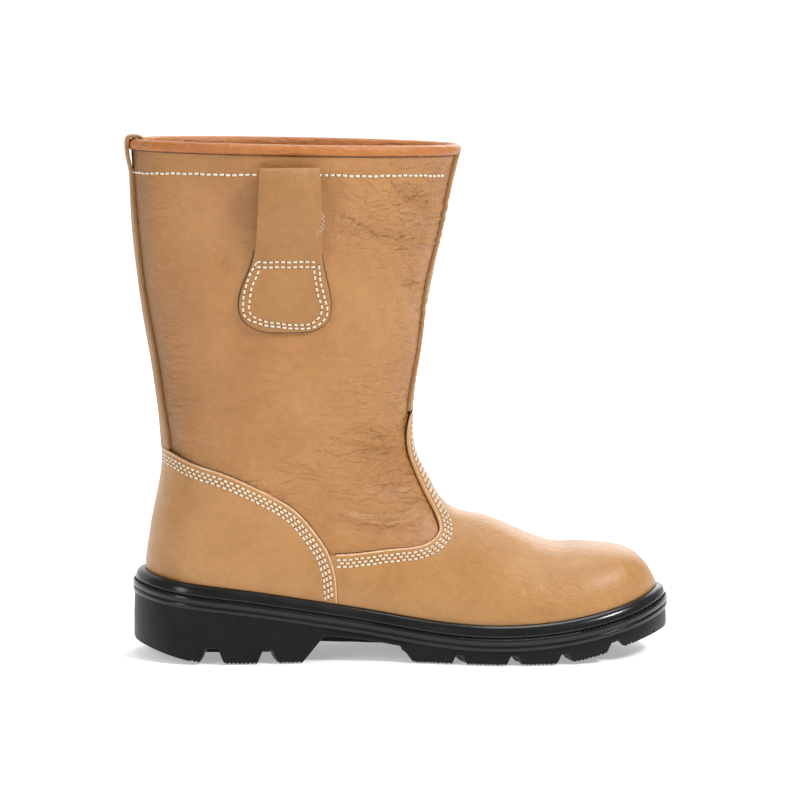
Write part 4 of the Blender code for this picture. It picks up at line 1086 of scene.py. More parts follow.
def stitch(q, t, n, b, length, r):
    """One stitch: an arched capsule, its ends going down into the leather."""
    path, rad = [], []
    for u in (-1.0, -0.86, -0.5, 0, 0.5, 0.86, 1.0):
        path.append(q + t * (u * length / 2) + n * (r * 0.55 - 1.15 * r * u ** 4))
        rad.append(r * (1 - 0.55 * u ** 6))
    path, rad = np.array(path), np.array(rad)
    ang = np.linspace(0, 2 * math.pi, 6, endpoint=False)
    ring = path[:, None] + b * (np.cos(ang)[None, :, None] * rad[:, None, None]) + n * (np.sin(ang)[None, :, None] * rad[:, None, None] * 0.85)
    f = [(k * 6 + j, k * 6 + (j + 1) % 6, (k + 1) * 6 + (j + 1) % 6, (k + 1) * 6 + j) for k in range(6) for j in range(6)]
    f += [tuple(range(6))[::-1], tuple(range(36, 42))]
    threads.add(ring.reshape(-1, 3), f)


# painted shade: a dark disc on the surface stands in for the shadowed needle hole
def hole(q, t, n, b, r):
    ang = np.linspace(0, 2 * math.pi, 8, endpoint=False)
    rim = q + n * 0.03 + b * (np.cos(ang)[:, None] * r) + t * (np.sin(ang)[:, None] * r * 0.9)
    top = q + n * 0.12 + b * (np.cos(ang)[:, None] * r * 0.6) + t * (np.sin(ang)[:, None] * r * 0.55)
    f = [(j, (j + 1) % 8, 8 + (j + 1) % 8, 8 + j) for j in range(8)] + [tuple(range(8, 16))]
    holes.add(np.concatenate((rim, top)), f)


def sew(pts, tree, height, pitch, length, r, phase=0.0, wobble=0.12):
    """Row of stitches along the points, standing on the surface at height."""
    q = even(pts, pitch / 4)
    q, n, b = surface_line(tree, q)
    t = np.gradient(q, axis=0)
    t /= np.linalg.norm(t, axis=1)[:, None]
    start = int(round(4 * phase)) + 2
    for k in range(start, len(q) - 2, 4):
        w = wobble * math.sin(12.9898 * k + 3.1 * len(q))
        c = q[k] + n[k] * height + b[k] * w
        turn = t[k] + b[k] * 0.05 * math.sin(7.13 * k)
        stitch(c, turn / np.linalg.norm(turn), n[k], b[k], length * (1 + 0.05 * math.sin(4.7 * k)), r)
        if k + 2 < len(q):
            hole(q[k + 2] + n[k + 2] * height + b[k + 2] * w, t[k + 2], n[k + 2], b[k + 2], r * 0.85)


def trim(lines, tree, thick, into, rows, pitch, length, r, edge=0.75):
    """Raw edge, painted shadow line and stitch rows of a panel; into is +1 or -1."""
    for line in lines:
        q = even(line, 1.2)
        q, n, b = surface_line(tree, q)
        b = b * into
        pts, f = tube(q + n * (GAP + thick - 0.62) + b * (edge * 0.55), n, b, edge, 0.72)
        cut_edges.add(pts, f)
        # painted shadow: a dark tube on the leather below, just outside the panel's edge
        pts, f = tube(q + n * 0.14 - b * 0.40, n, b, 0.50, 0.42)
        shadow_lines.add(pts, f)
        for k, d in enumerate(rows):
            sew(q + b * d, tree, GAP + thick, pitch, length, r, 0.5 * (k % 2))


vamp_lines = both_sides(vamp_line[6:], 136.6)
counter_lines = both_sides([q for q in counter_line if q[0] > -143])
counter_lines = [[p for p in line if p[2] > seat_z(p[0]) - 2] for line in counter_lines]
vamp_lines = [[p for p in line if p[0] > -40] for line in vamp_lines]


def inward(line, towards):
    """+1 or -1: the side of the line on which the panel lies."""
    q, n, b = surface_line(BARE, even(line, 3.0))
    k = len(q) // 3
    return 1 if np.dot(b[k], np.array(towards) - q[k]) > 0 else -1


for line in vamp_lines:
    trim([line], BARE, VAMP_T, inward(line, (60, line[len(line) // 3][1], 50)), (2.9, 4.8, 6.7), 3.35, 2.35, 0.52)
for line in counter_lines:
    trim([line], BARE, COUNTER_T, inward(line, (-120, line[len(line) // 3][1], 60)), (2.9, 4.8, 6.7), 3.35, 2.35, 0.52)

# single row round the collar
rows_z = [("back", -150, 273.2), ("side", -100, 273.4), ("mid", -60, 273.0), ("fore", -9, 271.9), ("front", 30, 270.5)]
ring_z = spline([r[1] for r in rows_z], [r[2] for r in rows_z])
collar_row = []
for a in np.linspace(-2.94, 2.94, 260):
    o = Vector((-60, 6.3, 272))
    d = Vector((-math.cos(a), math.sin(a), 0))
    for _ in range(2):
        hit = TREE.ray_cast(o + d * 160, -d)[0]
        if hit is None:
            break
        o.z = float(ring_z(hit.x)) + 0.25 * math.sin(a * 9)
    if hit is not None:
        collar_row.append(tuple(hit))
sew(collar_row, TREE, 0.0, 3.6, 2.75, 0.60)


# ------------------------------------------------------------ straps
def strap(name, z_low, z_high, half, axis, node, thick=STRAP_T):
    hw = spline([r[1] for r in half], [r[2] for r in half])
    zs = np.linspace(z_low, z_high, int((z_high - z_low) / 1.6))
    prof = [(-1.0, -0.3), (-1.0, 0.55), (-0.985, 0.86), (-0.95, 1.0), (-0.8, 1.03), (-0.6, 1.0), (-0.4, 1.0), (-0.2, 1.0), (0, 1.0)]
    prof += [(-a, h) for a, h in prof[-2::-1]]
    pts = []
    for z in zs:
        w = float(hw(z))
        for a, h in prof:
            y = 6.0 + a * w
            hit = TREE.ray_cast(Vector((axis * 260, y, z)), Vector((-axis, 0, 0)))
            q, n = np.array(hit[0]), np.array(hit[1])
            n = n if n[0] * axis > 0 else -n
            pts.append(q + n * (GAP + thick) * h)
    m = len(prof)
    f = [(k * m + j, k * m + (j + 1) % m, (k + 1) * m + (j + 1) % m, (k + 1) * m + j) for k in range(len(zs) - 1) for j in range(m)]
    f += [tuple(range(m))[::-1], tuple(range((len(zs) - 1) * m, len(zs) * m))]
    ob = new_object(name, pts, f, [STRAP], sharp=60)
    point_attribute(ob, "wrinkle", np.full(len(pts), 0.35))
    point_attribute(ob, "shade", np.full(len(pts), 0.12 if axis > 0 else 0.25))
    # painted shadow: a dark tube on the shaft along each side of the strap
    for side in (-1, 1):
        line = [(float(hw(z)) * side + 6.0, z) for z in zs]
        edge = []
        for y, z in line:
            hit = TREE.ray_cast(Vector((axis * 260, y + side * 0.4, z)), Vector((-axis, 0, 0)))[0]
            if hit is not None:
                edge.append(tuple(hit))
        q, n, b = surface_line(TREE, even(edge, 2.0))
        p2, f2 = tube(q + n * 0.06, n, b, 0.38, 0.24)
        shadow_lines.add(p2, f2)
    ride(ob, node)
    return ob


strap("front_seam_strap", 137.2, 284.4, FRONT_STRAP, 1, "front_strap")
strap("back_seam_strap", 117.5, 275.0, BACK_STRAP, -1, "back_strap")


def back_tab():
    """End of the back strap: stands off, then turns over the binding."""
    x_at = lambda z: float(np.interp(z, back_z, back_x))
    top, out, b = back_z[-1], GAP + STRAP_T, BINDING_T + 2 * GAP
    path = np.array([
        (x_at(266) - out, 266.0), (x_at(274) - out - 0.2, 274.0), (x_at(280) - out - 1.3, 280.0),
        (x_at(285) - b - STRAP_T - 0.1, 285.4), (x_at(289) - b - STRAP_T - 0.1, top - 0.6),
        (x_at(289) - b - 0.4, top + b + 1.1), (x_at(289) + 1.1, top + b + STRAP_T + 0.1),
        (x_at(289) + LEATHER + b + 0.2, top + b + 1.1), (x_at(289) + LEATHER + b + STRAP_T + 0.3, top - 1.0),
        (x_at(285) + LEATHER + b + STRAP_T + 0.5, 282.0)])
    d = np.concatenate(([0], np.cumsum(np.hypot(*np.diff(path, axis=0).T))))
    s = np.linspace(0, d[-1], 60)
    c = np.stack((spline(d, path[:, 0])(s), spline(d, path[:, 1])(s)), 1)
    g = np.gradient(c, axis=0)
    g /= np.hypot(*g.T)[:, None]
    ws = np.array((-7.0, -6.9, -6.4, -5, -3.5, -1.7, 0, 1.7, 3.5, 5, 6.4, 6.9, 7.0))
    pts = []
    for k in range(len(s)):
        nx, nz = g[k][1], -g[k][0]
        bend = 0.018 + 0.016 * smooth_step(s[k], d[6], d[8])
        for w in ws:
            r = 0.35 if abs(w) == 7.0 else (0.12 if abs(w) == 6.9 else 0.0)
            pts.append((c[k][0] + nx * r + bend * w * w, 6.0 + w, c[k][1] + nz * r))
        for w in ws[::-1]:
            r = STRAP_T - (0.35 if abs(w) == 7.0 else (0.12 if abs(w) == 6.9 else 0.0))
            pts.append((c[k][0] + nx * r + bend * w * w, 6.0 + w, c[k][1] + nz * r))
    m = 2 * len(ws)
    f = [(k * m + j, k * m + (j + 1) % m, (k + 1) * m + (j + 1) % m, (k + 1) * m + j) for k in range(len(s) - 1) for j in range(m)]
    f += [tuple(range(m))[::-1], tuple(range((len(s) - 1) * m, len(s) * m))]
    ob = new_object("back_strap_end", pts, f, [STRAP], sharp=60)
    point_attribute(ob, "wrinkle", np.full(len(pts), 0.3))
    point_attribute(ob, "shade", np.full(len(pts), 0.15))
    return ride(ob, None)


back_tab()


# ------------------------------------------------------------ binding
def binding():
    rim, below = FINE.ids[-1][:-1], FINE.ids[-4][:-1]
    o, i = FINE.p[rim], (FINE.p - FINE.n * LEATHER)[rim]
    outn = (o - i) / np.linalg.norm(o - i, axis=1)[:, None]
    lean = o - FINE.p[below]
    lean = lean / lean[:, 2:3]
    b = BINDING_T + GAP
    low = -(BINDING_H - b)
    rows = [(0.05, low + 0.1), (0.5, low - 0.25), (1.1, low - 0.2), (b - 0.15, low + 0.4), (b + 0.15, low + 1.4),
            (b + 0.2, -1.6), (b, -0.5), (b - 0.45, 0.6), (b - 1.3, 1.35), (-LEATHER / 2, b + 0.1),
            (-LEATHER - b + 1.3, 1.35), (-LEATHER - b + 0.45, 0.6), (-LEATHER - b, -0.5), (-LEATHER - b - 0.1, -2.2),
            (-LEATHER - b + 0.1, -4.4), (-LEATHER - b + 0.8, -5.2), (-LEATHER + 0.2, -5.2), (-LEATHER + 0.4, -1.0), (-0.3, -1.0)]
    n, pts = len(rim), []
    ph = np.arange(n) * 2 * math.pi / n
    for r, z in rows:
        swell = 0.10 * np.sin(17 * ph) * np.sin(5 * ph + 1) if r > 0.8 or z > 0 else 0
        rr = r + swell
        pts.append(o + outn * np.reshape(rr, (-1, 1)) * np.ones((n, 1)) + lean * min(z, 0) + np.array((0, 0, max(z, 0))))
    m = len(rows)
    f = [(a * n + k, a * n + (k + 1) % n, ((a + 1) % m) * n + (k + 1) % n, ((a + 1) % m) * n + k) for a in range(m) for k in range(n)]
    pts = np.concatenate(pts)
    ob = new_object("collar_roll", pts, f, [BINDING], sharp=60)
    bm = bmesh.new()
    bm.from_mesh(ob.data)
    bmesh.ops.recalc_face_normals(bm, faces=bm.faces)
    bm.to_mesh(ob.data)
    bm.free()
    point_attribute(ob, "wrinkle", np.full(len(pts), 0.45))
    point_attribute(ob, "shade", np.full(len(pts), 0.05))
    ride(ob, "collar_binding")
    # painted shadow: a dark tube round the shaft just under the binding's lower edge
    ring = o + lean * (low - 0.45) + outn * 0.28
    ring = np.concatenate((ring, ring[:2]))
    up = np.concatenate((outn, outn[:2]))
    p2, f2 = tube(ring, up, np.tile((0, 0, 1.0), (len(ring), 1)), 0.5, 0.35)
    shadow_lines.add(p2, f2)


binding()


# ------------------------------------------------------------ pull loops
def side_y(x, z, side):
    hit = BARE.ray_cast(Vector((x, side * 200, z)), Vector((0, -side, 0)))[0]
    return hit.y


def loop_outline():
    back = [(x, -z) for z, x in smooth_path([(r[0], -r[1], r[2]) for r in LOOP_EDGE], 40)]
    front = [(x, -z) for z, x in smooth_path([(r[0], -r[1], r[3]) for r in LOOP_EDGE], 40)]
    return [(-82.0, 290.0)] + back + front[::-1] + [(-48.8, 290.0)]


def loop_body(side, rows, close_back, x_low, x_high, steps, ripple=0.0):
    prof = [tuple(q) for q in smooth_path([(r[0], r[1], r[2]) for r in rows], 5 * len(rows))] + close_back
    xs = np.linspace(x_low, x_high, steps)
    m = len(prof)
    pts = []
    for x in xs:
        for z, d in prof:
            w = ripple * math.sin(x * 0.35 + z * 0.11) * smooth_step(z, 226, 250)
            pts.append((x, side_y(x, min(z, 277), side) + side * (d + w), z))
    f = [(k * m + j, k * m + (j + 1) % m, (k + 1) * m + (j + 1) % m, (k + 1) * m + j) for k in range(steps - 1) for j in range(m)]
    f += [tuple(range(m)), tuple((steps - 1) * m + j for j in range(m))[::-1]]
    ob = new_object("loop", pts, f, [STRAP], smooth=False)
    bm = bmesh.new()
    bm.from_mesh(ob.data)
    bmesh.ops.triangulate(bm, faces=[q for q in bm.faces if len(q.verts) > 4])
    bmesh.ops.recalc_face_normals(bm, faces=bm.faces)
    bm.to_mesh(ob.data)
    bm.free()
    return ob


def pull_loop(name, side, node):
    close = [(z, 0.1) for z in (262.0, 254.0, 246.0, 238.0, 230.0, 224.0, 218.0, 212.0, 206.0, 200.0, 192.0, 184.0)]
    ob = loop_body(side, LOOP_OUT, close, -94.0, -40.0, 34, 0.25)
    cut(ob, prism(loop_outline(), "y", -90, 90), "INTERSECT")
    cut(ob, loop_body(side, LOOP_GAP, [], -99.0, -35.0, 30))
    ob.name = name
    bv = ob.modifiers.new("round", "BEVEL")
    bv.width, bv.segments, bv.limit_method, bv.angle_limit = 0.0004, 2, "ANGLE", math.radians(50)
    me = bpy.data.meshes.new_from_object(ob.evaluated_get(bpy.context.evaluated_depsgraph_get()))
    ob.modifiers.remove(bv)
    ob.data = me
    if not me.materials:
        me.materials.append(STRAP)
    me.shade_smooth()
    me.set_sharp_from_angle(angle=math.radians(40))
    point_attribute(ob, "wrinkle", np.full(len(me.vertices), 0.3))
    point_attribute(ob, "shade", np.full(len(me.vertices), 0.08))
    ride(ob, node)
    out_tree = mesh_tree(ob)
    outer = [(-82.9, 225.5), (-90.4, 202.6), (-89.3, 195.3), (-82.8, 191.5), (-65.2, 188.6), (-47.4, 191.1),
             (-44.0, 196.1), (-45.4, 205.1), (-48.7, 224.9)]
    c = np.array(outer).mean(0)
    for k, rowpts in enumerate((outer, [tuple(c + (np.array(q) - c) * 0.86) for q in outer])):
        path = smooth_path([("", *q) for q in rowpts], 90)
        sew(cast_side(out_tree, path, side), out_tree, 0.0, 3.35, 2.4, 0.5, 0.5 * k)
    for z in (225.3, 222.5):
        path = [(x, z) for x in np.linspace(-83.5, -48.4, 40)]
        sew(cast_side(out_tree, path, side), out_tree, 0.0, 3.35, 2.4, 0.5)
    # painted shadow: a dark tube on the shaft along the lower edge of the loop's foot
    edge = [q for q in loop_outline() if q[1] < 276]
    for part in (edge,):
        pts = [p for p in cast_side(BARE, part, side)]
        low = [p for p in pts if p[2] < 232]
        q, n, b = surface_line(BARE, even(low, 1.5))
        p2, f2 = tube(q + n * 0.25, n, b, 0.75, 0.3)
        shadow_lines.add(p2, f2)


pull_loop("pull_loop_near", -1, "pull_loop_inner")
pull_loop("pull_loop_far", 1, "pull_loop_outer")

# loose thread ends at the front edge of the inner loop
for k in range(7):
    a, z = 0.7 * k, 250 - 1.9 * k
    y = side_y(-48, z, -1) - 8
    u = np.linspace(0, 1, 7)
    p = np.stack((-48.6 + 2.2 * np.sin(a + 2.6 * u), y - 1.4 * u * (k % 2) + 0.7 * np.cos(a + 4 * u), z + 2.6 * u - 1.2 * np.sin(3 * u + a)), 1)
    p2, f2 = tube(p, np.tile((0, -1.0, 0), (7, 1)), np.tile((1.0, 0, 0), (7, 1)), 0.16, 0.16, 5)
    threads.add(p2, f2)


# ------------------------------------------------------------ welt
def rim_ring(inset, count):
    phi = np.linspace(0, 2 * math.pi, count, endpoint=False)
    # stations evenly spaced along the rim
    fx, fy = rim_xy(np.linspace(0, 2 * math.pi, 4001))
    s = np.concatenate(([0], np.cumsum(np.hypot(np.diff(fx), np.diff(fy)))))
    phi = np.interp(phi / (2 * math.pi) * s[-1], s, np.linspace(0, 2 * math.pi, 4001))
    x, y = rim_xy(phi)
    xa, ya = rim_xy(phi - 1e-3)
    xb, yb = rim_xy(phi + 1e-3)
    gx, gy = xb - xa, yb - ya
    g = np.hypot(gx, gy)
    return x - inset * gy / g, y + inset * gx / g, gy / g, -gx / g


def loft(rows, count, height):
    rings = []
    for inset, below in rows:
        x, y, _, _ = rim_ring(inset, count)
        rings.append(np.stack((x, y, height(x) - below), 1))
    m = len(rings)
    f = [(a * count + k, a * count + (k + 1) % count, ((a + 1) % m) * count + (k + 1) % count, ((a + 1) % m) * count + k)
         for a in range(m) for k in range(count)]
    return np.concatenate(rings), f


WELT_ROWS = [  # inset from the rim, below the seat line
    (SEAT_IN + 1.4, 1.2), (SEAT_IN - 0.6, 0.35), (6.9, 0.0), (6.2, -0.05), (5.3, 0.12), (4.3, 0.55), (3.4, 1.25), (2.6, 2.2),
    (2.05, 3.3), (1.72, 4.4), (1.55, 5.4), (1.5, 6.1), (1.8, 6.5), (2.7, 6.7), (2.7, 7.05), (0.75, 7.15), (0.25, 7.35),
    (0.05, 7.8), (0.0, 8.6), (0.0, 10.3), (0.25, 10.6), (0.75, 10.75), (0.75, 11.05), (0.25, 11.2), (0.05, 11.5),
    (0.0, 12.6), (0.1, 13.6), (0.45, 14.05), (1.0, WELT_H), (SEAT_IN + 1.4, WELT_H)]
pts, f = loft(WELT_ROWS, 420, seat_z)
welt = new_object("welt_bead", pts, f, [GLOSS], sharp=45)
bm = bmesh.new()
bm.from_mesh(welt.data)
bmesh.ops.recalc_face_normals(bm, faces=bm.faces)
bm.to_mesh(welt.data)
bm.free()
ride(welt, "welt")

beads = Joined()
x, y, nx, ny = rim_ring(1.25, 300)
for k in range(300):
    q = np.array((x[k], y[k], float(seat_z(x[k])) - 7.15))
    o, u = np.array((nx[k], ny[k], 0.0)), np.array((0, 0, 1.0))
    t = np.cross(u, o)
    rings = []
    for a, r in ((-0.85, 0.25), (-0.6, 0.5), (0.6, 0.5), (0.85, 0.25)):
        ang = np.linspace(0, 2 * math.pi, 6, endpoint=False)
        rings.append(q + t * a + o * (np.cos(ang)[:, None] * r * 1.1) + u * (np.sin(ang)[:, None] * r))
    ff = [(i * 6 + j, i * 6 + (j + 1) % 6, (i + 1) * 6 + (j + 1) % 6, (i + 1) * 6 + j) for i in range(3) for j in range(6)]
    ff += [tuple(range(6))[::-1], tuple(range(18, 24))]
    beads.add(np.concatenate(rings), ff)
beads.make("welt_pips", RUBBER, "welt_rubber")


# ------------------------------------------------------------ sole
WEDGES = [  # x of shoulder, its y either side, x of point, its y either side
    (117.0, -28.6, 9.4, 93.6, -10.1, 0.0), (86.8, -19.6, 10.9, 66.1, -6.6, 3.9),
    (50.1, -13.6, 17.4, 31.2, 0.4, 10.4), (21.8, -11.1, 18.9, 7.2, 2.9, 11.4),
    (-63.2, -0.6, 15.9, -82.9, 2.3, 11.4), (-90.0, -2.0, 14.0, -112.0, 1.5, 10.0),
]


def rib(v, pitch, duty=0.5):
    s = np.abs(((v / pitch) % 1.0) - 0.5) * 2
    return smooth_step(s, duty - 0.22, duty + 0.22)


def tread_surface(x, y, rim_m, rim_l):
    """Height of the underside at each point, with every groove of the tread."""
    z = tread_z(x).astype(float)
    ay = np.array([(r[1], r[2]) for r in ARCH_SIDE])
    ap = np.array([(r[1], r[2]) for r in ARCH_PANEL])
    w = smooth_step(y, -12.0, -10.8) * (1 - smooth_step(y, 25.6, 26.8))
    arch = w * np.interp(x, ap[:, 0], ap[:, 1], -9, -9) + (1 - w) * np.interp(x, ay[:, 0], ay[:, 1], -9, -9)
    in_arch = arch > z
    ring = np.abs(np.hypot((y - 7.7) / 14.8, (x + 26.8) / 8.6) - 1) * 9.5
    arch = arch + 0.7 * (1 - smooth_step(ring, 0.5, 1.1)) * w
    arch = arch + 0.35 * rib(x, 2.4) * smooth_step(-x, 46, 48) * w
    depth = np.zeros_like(z)
    cm = np.array([channel_y(q, -1) for q in np.ravel(x)]).reshape(x.shape)
    cl = np.array([channel_y(q, 1) for q in np.ravel(x)]).reshape(x.shape)
    fore, heel = (x > 2) & (x < 127), (x < -52) & (x > -121)
    tread_zone = fore | heel
    centre = (y > cm) & (y < cl) & tread_zone
    outside = ((y < cm) | (y > cl)) & tread_zone
    for c in (cm, cl):
        d = np.abs(y - c)
        depth = np.maximum(depth, np.where(tread_zone, 4.6 * (1 - smooth_step(d, 1.4, 2.3)), 0))
    edge = np.minimum(y - rim_m, rim_l - y)
    # side blocks: ribs near the rim, a slit, a plain raised block inside
    block = outside | ((x > -52) & (x < -44) & ~in_arch)
    depth = np.where(block & (edge < 9.0), np.maximum(depth, 0.75 * rib(x, 2.3)), depth)
    depth = np.where(outside, np.maximum(depth, 2.6 * (1 - smooth_step(np.abs(edge - 10.2), 0.5, 1.0))), depth)
    # centre plates: ribs, smooth lower flats and wedges with a channel round them
    plate = np.where(centre, 0.8 * rib(x, 2.6), 0)
    for xs, sa, sb, xp, pa, pb in WEDGES:
        u = np.clip((xs - x) / (xs - xp), -0.4, 1.3)
        lo, hi = sa + (pa - sa) * u, sb + (pb - sb) * u
        mid, hw = (lo + hi) / 2, (hi - lo) / 2
        d = np.abs(y - mid) - hw
        along = smooth_step(u, -0.06, 0.02) * (1 - smooth_step(u, 0.98, 1.08))
        lane = (1 - smooth_step(np.abs(d - 1.5), 0.9, 1.6)) * along
        tip = (1 - smooth_step(np.abs((u - 1.04) * abs(xs - xp) - 1.0), 0.7, 1.4)) * (d < 2.4)
        plate = np.where(centre & (d < 0.1) & (u > 0) & (u < 1), 0.0, plate)
        plate = np.where(centre & (d > 2.6) & (u > 0.12) & (u < 0.92), 1.5, plate)
        plate = np.where(centre, np.maximum(plate, 3.2 * np.maximum(lane, tip)), plate)
    depth = np.where(centre, np.maximum(depth, plate), depth)
    # side grooves, wide at the mouth
    for _, x_rim, x_in, width, deep in SIDE_GROOVES:
        xc = np.interp(edge, (0, 16), (x_rim, x_in))
        hw = width / 2 * np.interp(edge, (0, 18), (1.0, 0.82))
        g = deep * np.clip((hw - np.abs(x - xc)) / (0.26 * width), 0, 1)
        depth = np.where((y < cm + 0.5) | (y > cl - 0.5), np.maximum(depth, g), depth)
    for xg in (143.5, 139.0, 134.4, 129.6, 125.2, -121.2, -127.3, -133.4, -139.4):
        keep = smooth_step(edge, 4.0, 5.0)
        depth = np.maximum(depth, 1.7 * (1 - smooth_step(np.abs(x - xg), 0.6, 1.1)) * keep)
    for a, b in (((140.5, 12.0), (125, 8.0)), ((140, -10.8), (124, -10.3)), ((140.5, -34.7), (125, -29.0))):
        yc = np.interp(x, (b[0], a[0]), (b[1], a[1]))
        d = np.abs(np.abs(y - yc) - 1.5)
        depth = np.where((x > b[0]) & (x < a[0]), np.maximum(depth, 2.0 * (1 - smooth_step(d, 0.4, 0.8))), depth)
    depth = np.where(in_arch, 0, depth)
    return np.maximum(z + depth, np.where(in_arch, arch, -9)), depth


def outsole():
    nx_, nv = 500, 140
    phi = np.linspace(0, math.pi, nx_ + 1)
    phi = phi - 0.10 * np.sin(2 * phi) * -1.0 * 0.0
    sides = []
    for sgn in (-1, 1):
        ph = sgn * phi
        x, y = rim_xy(ph % (2 * math.pi))
        xa, ya = rim_xy((ph - 1e-3) % (2 * math.pi))
        xb, yb = rim_xy((ph + 1e-3) % (2 * math.pi))
        gx, gy = xb - xa, yb - ya
        g = np.hypot(gx, gy)
        sides.append((x, y, gy / g, -gx / g))
    (xm, ym, nmx, nmy), (xl, yl, nlx, nly) = sides
    ins = 1.7
    pm = np.stack((xm - ins * nmx, ym - ins * nmy), 1)
    pl = np.stack((xl - ins * nlx, yl - ins * nly), 1)
    v = np.linspace(0, 1, nv + 1)
    v = v - 0.10 * np.sin(2 * math.pi * v) / (2 * math.pi)
    gx = pm[:, 0:1] + (pl[:, 0:1] - pm[:, 0:1]) * v
    gy = pm[:, 1:2] + (pl[:, 1:2] - pm[:, 1:2]) * v
    z, depth = tread_surface(gx, gy, np.repeat(pm[:, 1:2], nv + 1, 1), np.repeat(pl[:, 1:2], nv + 1, 1))
    pts = [np.stack((gx, gy, z), 2).reshape(-1, 3)]
    W = nv + 1
    f = []
    for i in range(nx_):
        a = i * W
        for j in range(nv):
            f.append((a + j, a + W + j, a + W + j + 1, a + j + 1))
    # walls: rings from the tread's rim up to the welt
    rim = [i * W for i in range(nx_ + 1)] + [i * W + nv for i in range(nx_, -1, -1)]
    base = np.concatenate((z[:, 0], z[::-1, -1]))
    bx = np.concatenate((xm, xl[::-1]))
    by = np.concatenate((ym, yl[::-1]))
    bnx = np.concatenate((nmx, nlx[::-1]))
    bny = np.concatenate((nmy, nly[::-1]))
    n = len(rim)
    start = len(pts[0])
    prev = rim
    wall_top = seat_z(bx) - WELT_H
    for inset, rise in ((0.9, 0.45), (0.55, 1.6), (0.55, None), (0.9, "top"), (SEAT_IN + 0.9, "top")):
        if rise == "top":
            zz = wall_top
        elif rise is None:
            zz = base + (wall_top - base) * 0.5
        else:
            zz = np.minimum(base + rise, wall_top - 1.0)
        pts.append(np.stack((bx - inset * bnx, by - inset * bny, zz), 1))
        cur = list(range(start, start + n))
        for k in range(n):
            j = (k + 1) % n
            f.append((prev[k], prev[j], cur[j], cur[k]))
        prev, start = cur, start + n
    half = n // 2
    for k in range(half - 1):
        f.append((prev[k], prev[k + 1], prev[n - 2 - k], prev[n - 1 - k]))
    ob = new_object("sole_tread", np.concatenate(pts), f, [RUBBER], smooth=True, sharp=32)
    bm = bmesh.new()
    bm.from_mesh(ob.data)
    bmesh.ops.remove_doubles(bm, verts=bm.verts, dist=1e-7)
    bmesh.ops.recalc_face_normals(bm, faces=bm.faces)
    bm.to_mesh(ob.data)
    bm.free()
    ob.data.set_sharp_from_angle(angle=math.radians(32))
    return ride(ob, "outsole")


outsole()


# ------------------------------------------------------------ insole
def insole():
    cols, rows_ = 40, 24
    xs = np.linspace(SX[HEEL_I] + 3.4, SX[TOE_I] - 3.4, 90)
    pts, f = [], []
    for zoff in (0.0, INSOLE_T):
        for x_ in xs:
            ym, yl = seat_y(x_)
            e = 3.0
            for v in np.linspace(0, 1, rows_ + 1):
                pts.append((x_, ym + e + (yl - ym - 2 * e) * v, float(seat_z(x_)) - LEDGE - 0.4 + zoff))
    W, H = rows_ + 1, 90
    for i in range(H - 1):
        for j in range(rows_):
            a = i * W + j
            f.append((a, a + 1, a + W + 1, a + W))
            b = H * W + a
            f.append((b, b + W, b + W + 1, b + 1))
    loop = [j for j in range(W)] + [i * W + W - 1 for i in range(1, H)] + [(H - 1) * W + j for j in range(W - 2, -1, -1)] \
        + [i * W for i in range(H - 2, 0, -1)]
    for a, b in zip(loop, loop[1:] + loop[:1]):
        f.append((a, b, H * W + b, H * W + a))
    ob = new_object("footbed", pts, f, [BOARD], sharp=40)
    return ride(ob, "insole")


insole()
threads.make("stitching", THREAD, "strap_leather")
holes.make("needle_holes", HOLE, "panel_leather")
cut_edges.make("raw_edges", EDGE, "panel_leather")
# painted shadow lines along the edges of panels, straps, binding and loops
shadow_lines.make("painted_shadow_lines", SHADE, "shaft_leather")


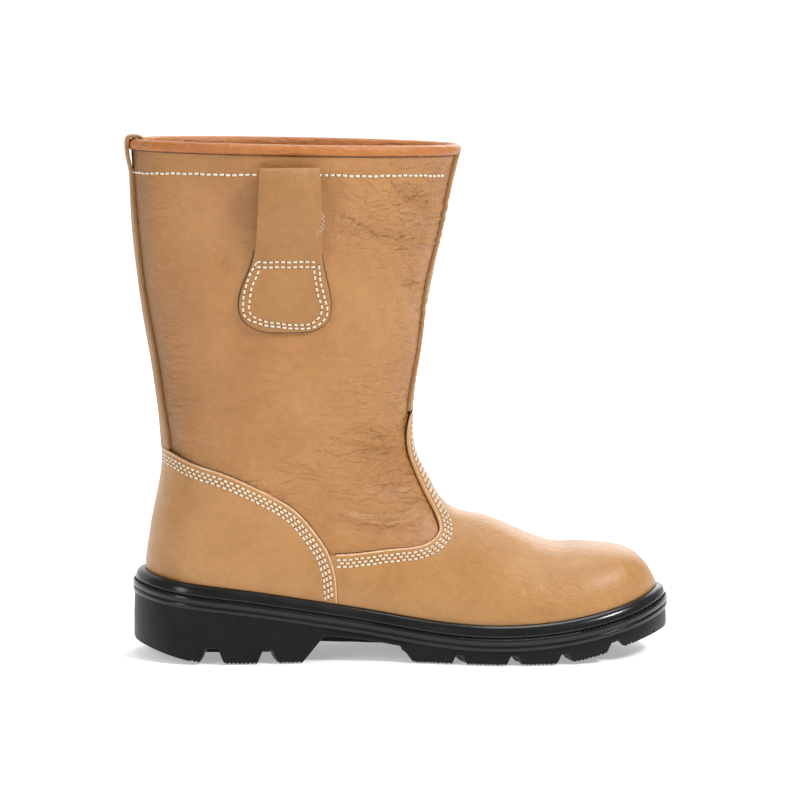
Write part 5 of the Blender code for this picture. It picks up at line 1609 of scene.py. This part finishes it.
# ------------------------------------------------------------ set
floor_me = bpy.data.meshes.new("floor")
back = [(-8.0, 0.0), (2.6, 0.0)] + [(2.6 + 2.0 * math.sin(a), 2.0 - 2.0 * math.cos(a)) for a in np.linspace(0.05, math.pi / 2, 16)] + [(4.6, 7.0)]
fv = [(x_, y_, z_ - 0.0004) for y_, z_ in back for x_ in (-9.0, 9.0)]
floor_me.from_pydata(fv, [], [(2 * k, 2 * k + 1, 2 * k + 3, 2 * k + 2) for k in range(len(back) - 1)])
floor_me.shade_smooth()
floor = bpy.data.objects.new("floor", floor_me)
bpy.context.scene.collection.objects.link(floor)
paper = plain("floor_paper", (0.84, 0.84, 0.84), (0.87, 0.87, 0.87), 3, 0.7, 0.02, 0.0002, 0.0, 0.2)
glow = paper.node_tree.nodes["Principled BSDF"]
glow.inputs["Emission Color"].default_value = (1, 1, 1, 1)
pn = paper.node_tree
where = pn.nodes.new("ShaderNodeSeparateXYZ")
pn.links.new(pn.nodes.new("ShaderNodeTexCoord").outputs["Object"], where.inputs[0])
far = pn.nodes.new("ShaderNodeMapRange")
for key, value in (("From Min", 1.6), ("From Max", 3.4), ("To Min", 0.36), ("To Max", 0.62)):
    far.inputs[key].default_value = value
pn.links.new(where.outputs["Y"], far.inputs["Value"])
pn.links.new(far.outputs["Result"], glow.inputs["Emission Strength"])
floor_me.materials.append(paper)

world = bpy.context.scene.world or bpy.data.worlds.new("world")
bpy.context.scene.world = world
world.use_nodes = True
world.node_tree.nodes["Background"].inputs["Color"].default_value = (1.0, 1.0, 1.0, 1)
world.node_tree.nodes["Background"].inputs["Strength"].default_value = 0.40
bpy.context.scene.view_settings.view_transform = "Standard"

target = Vector((1.35, -3.2, 143.0)) * MM


def area(name, where, size, energy, aim=(0, 0, 0.14)):
    li = bpy.data.lights.new(name, "AREA")
    li.shape, li.size, li.size_y, li.energy = "RECTANGLE", size[0], size[1], energy
    ob = bpy.data.objects.new(name, li)
    bpy.context.scene.collection.objects.link(ob)
    ob.location = where
    ob.rotation_euler = (Vector(aim) - Vector(where)).to_track_quat("-Z", "Y").to_euler()


area("key", (1.05, -1.0, 1.45), (0.38, 0.38), 29)
area("fill", (-1.3, -1.3, 0.9), (0.5, 1.2), 10.5)
area("top", (0.1, 0.3, 1.9), (0.9, 0.9), 14)
area("rim", (0.7, 1.4, 1.0), (1.0, 1.0), 8)

cam_data = bpy.data.cameras.new("camera")
cam = bpy.data.objects.new("camera", cam_data)
bpy.context.scene.collection.objects.link(cam)
az, el = math.radians(-6.3), math.radians(6.8)
way = Vector((math.sin(az) * math.cos(el), -math.cos(az) * math.cos(el), math.sin(el)))
cam.location = target + way * 2.060
cam.rotation_euler = (-way).to_track_quat("-Z", "Y").to_euler()
cam_data.lens, cam_data.sensor_width = 163.6, 36.0
cam_data.clip_end = 50
bpy.context.scene.camera = cam
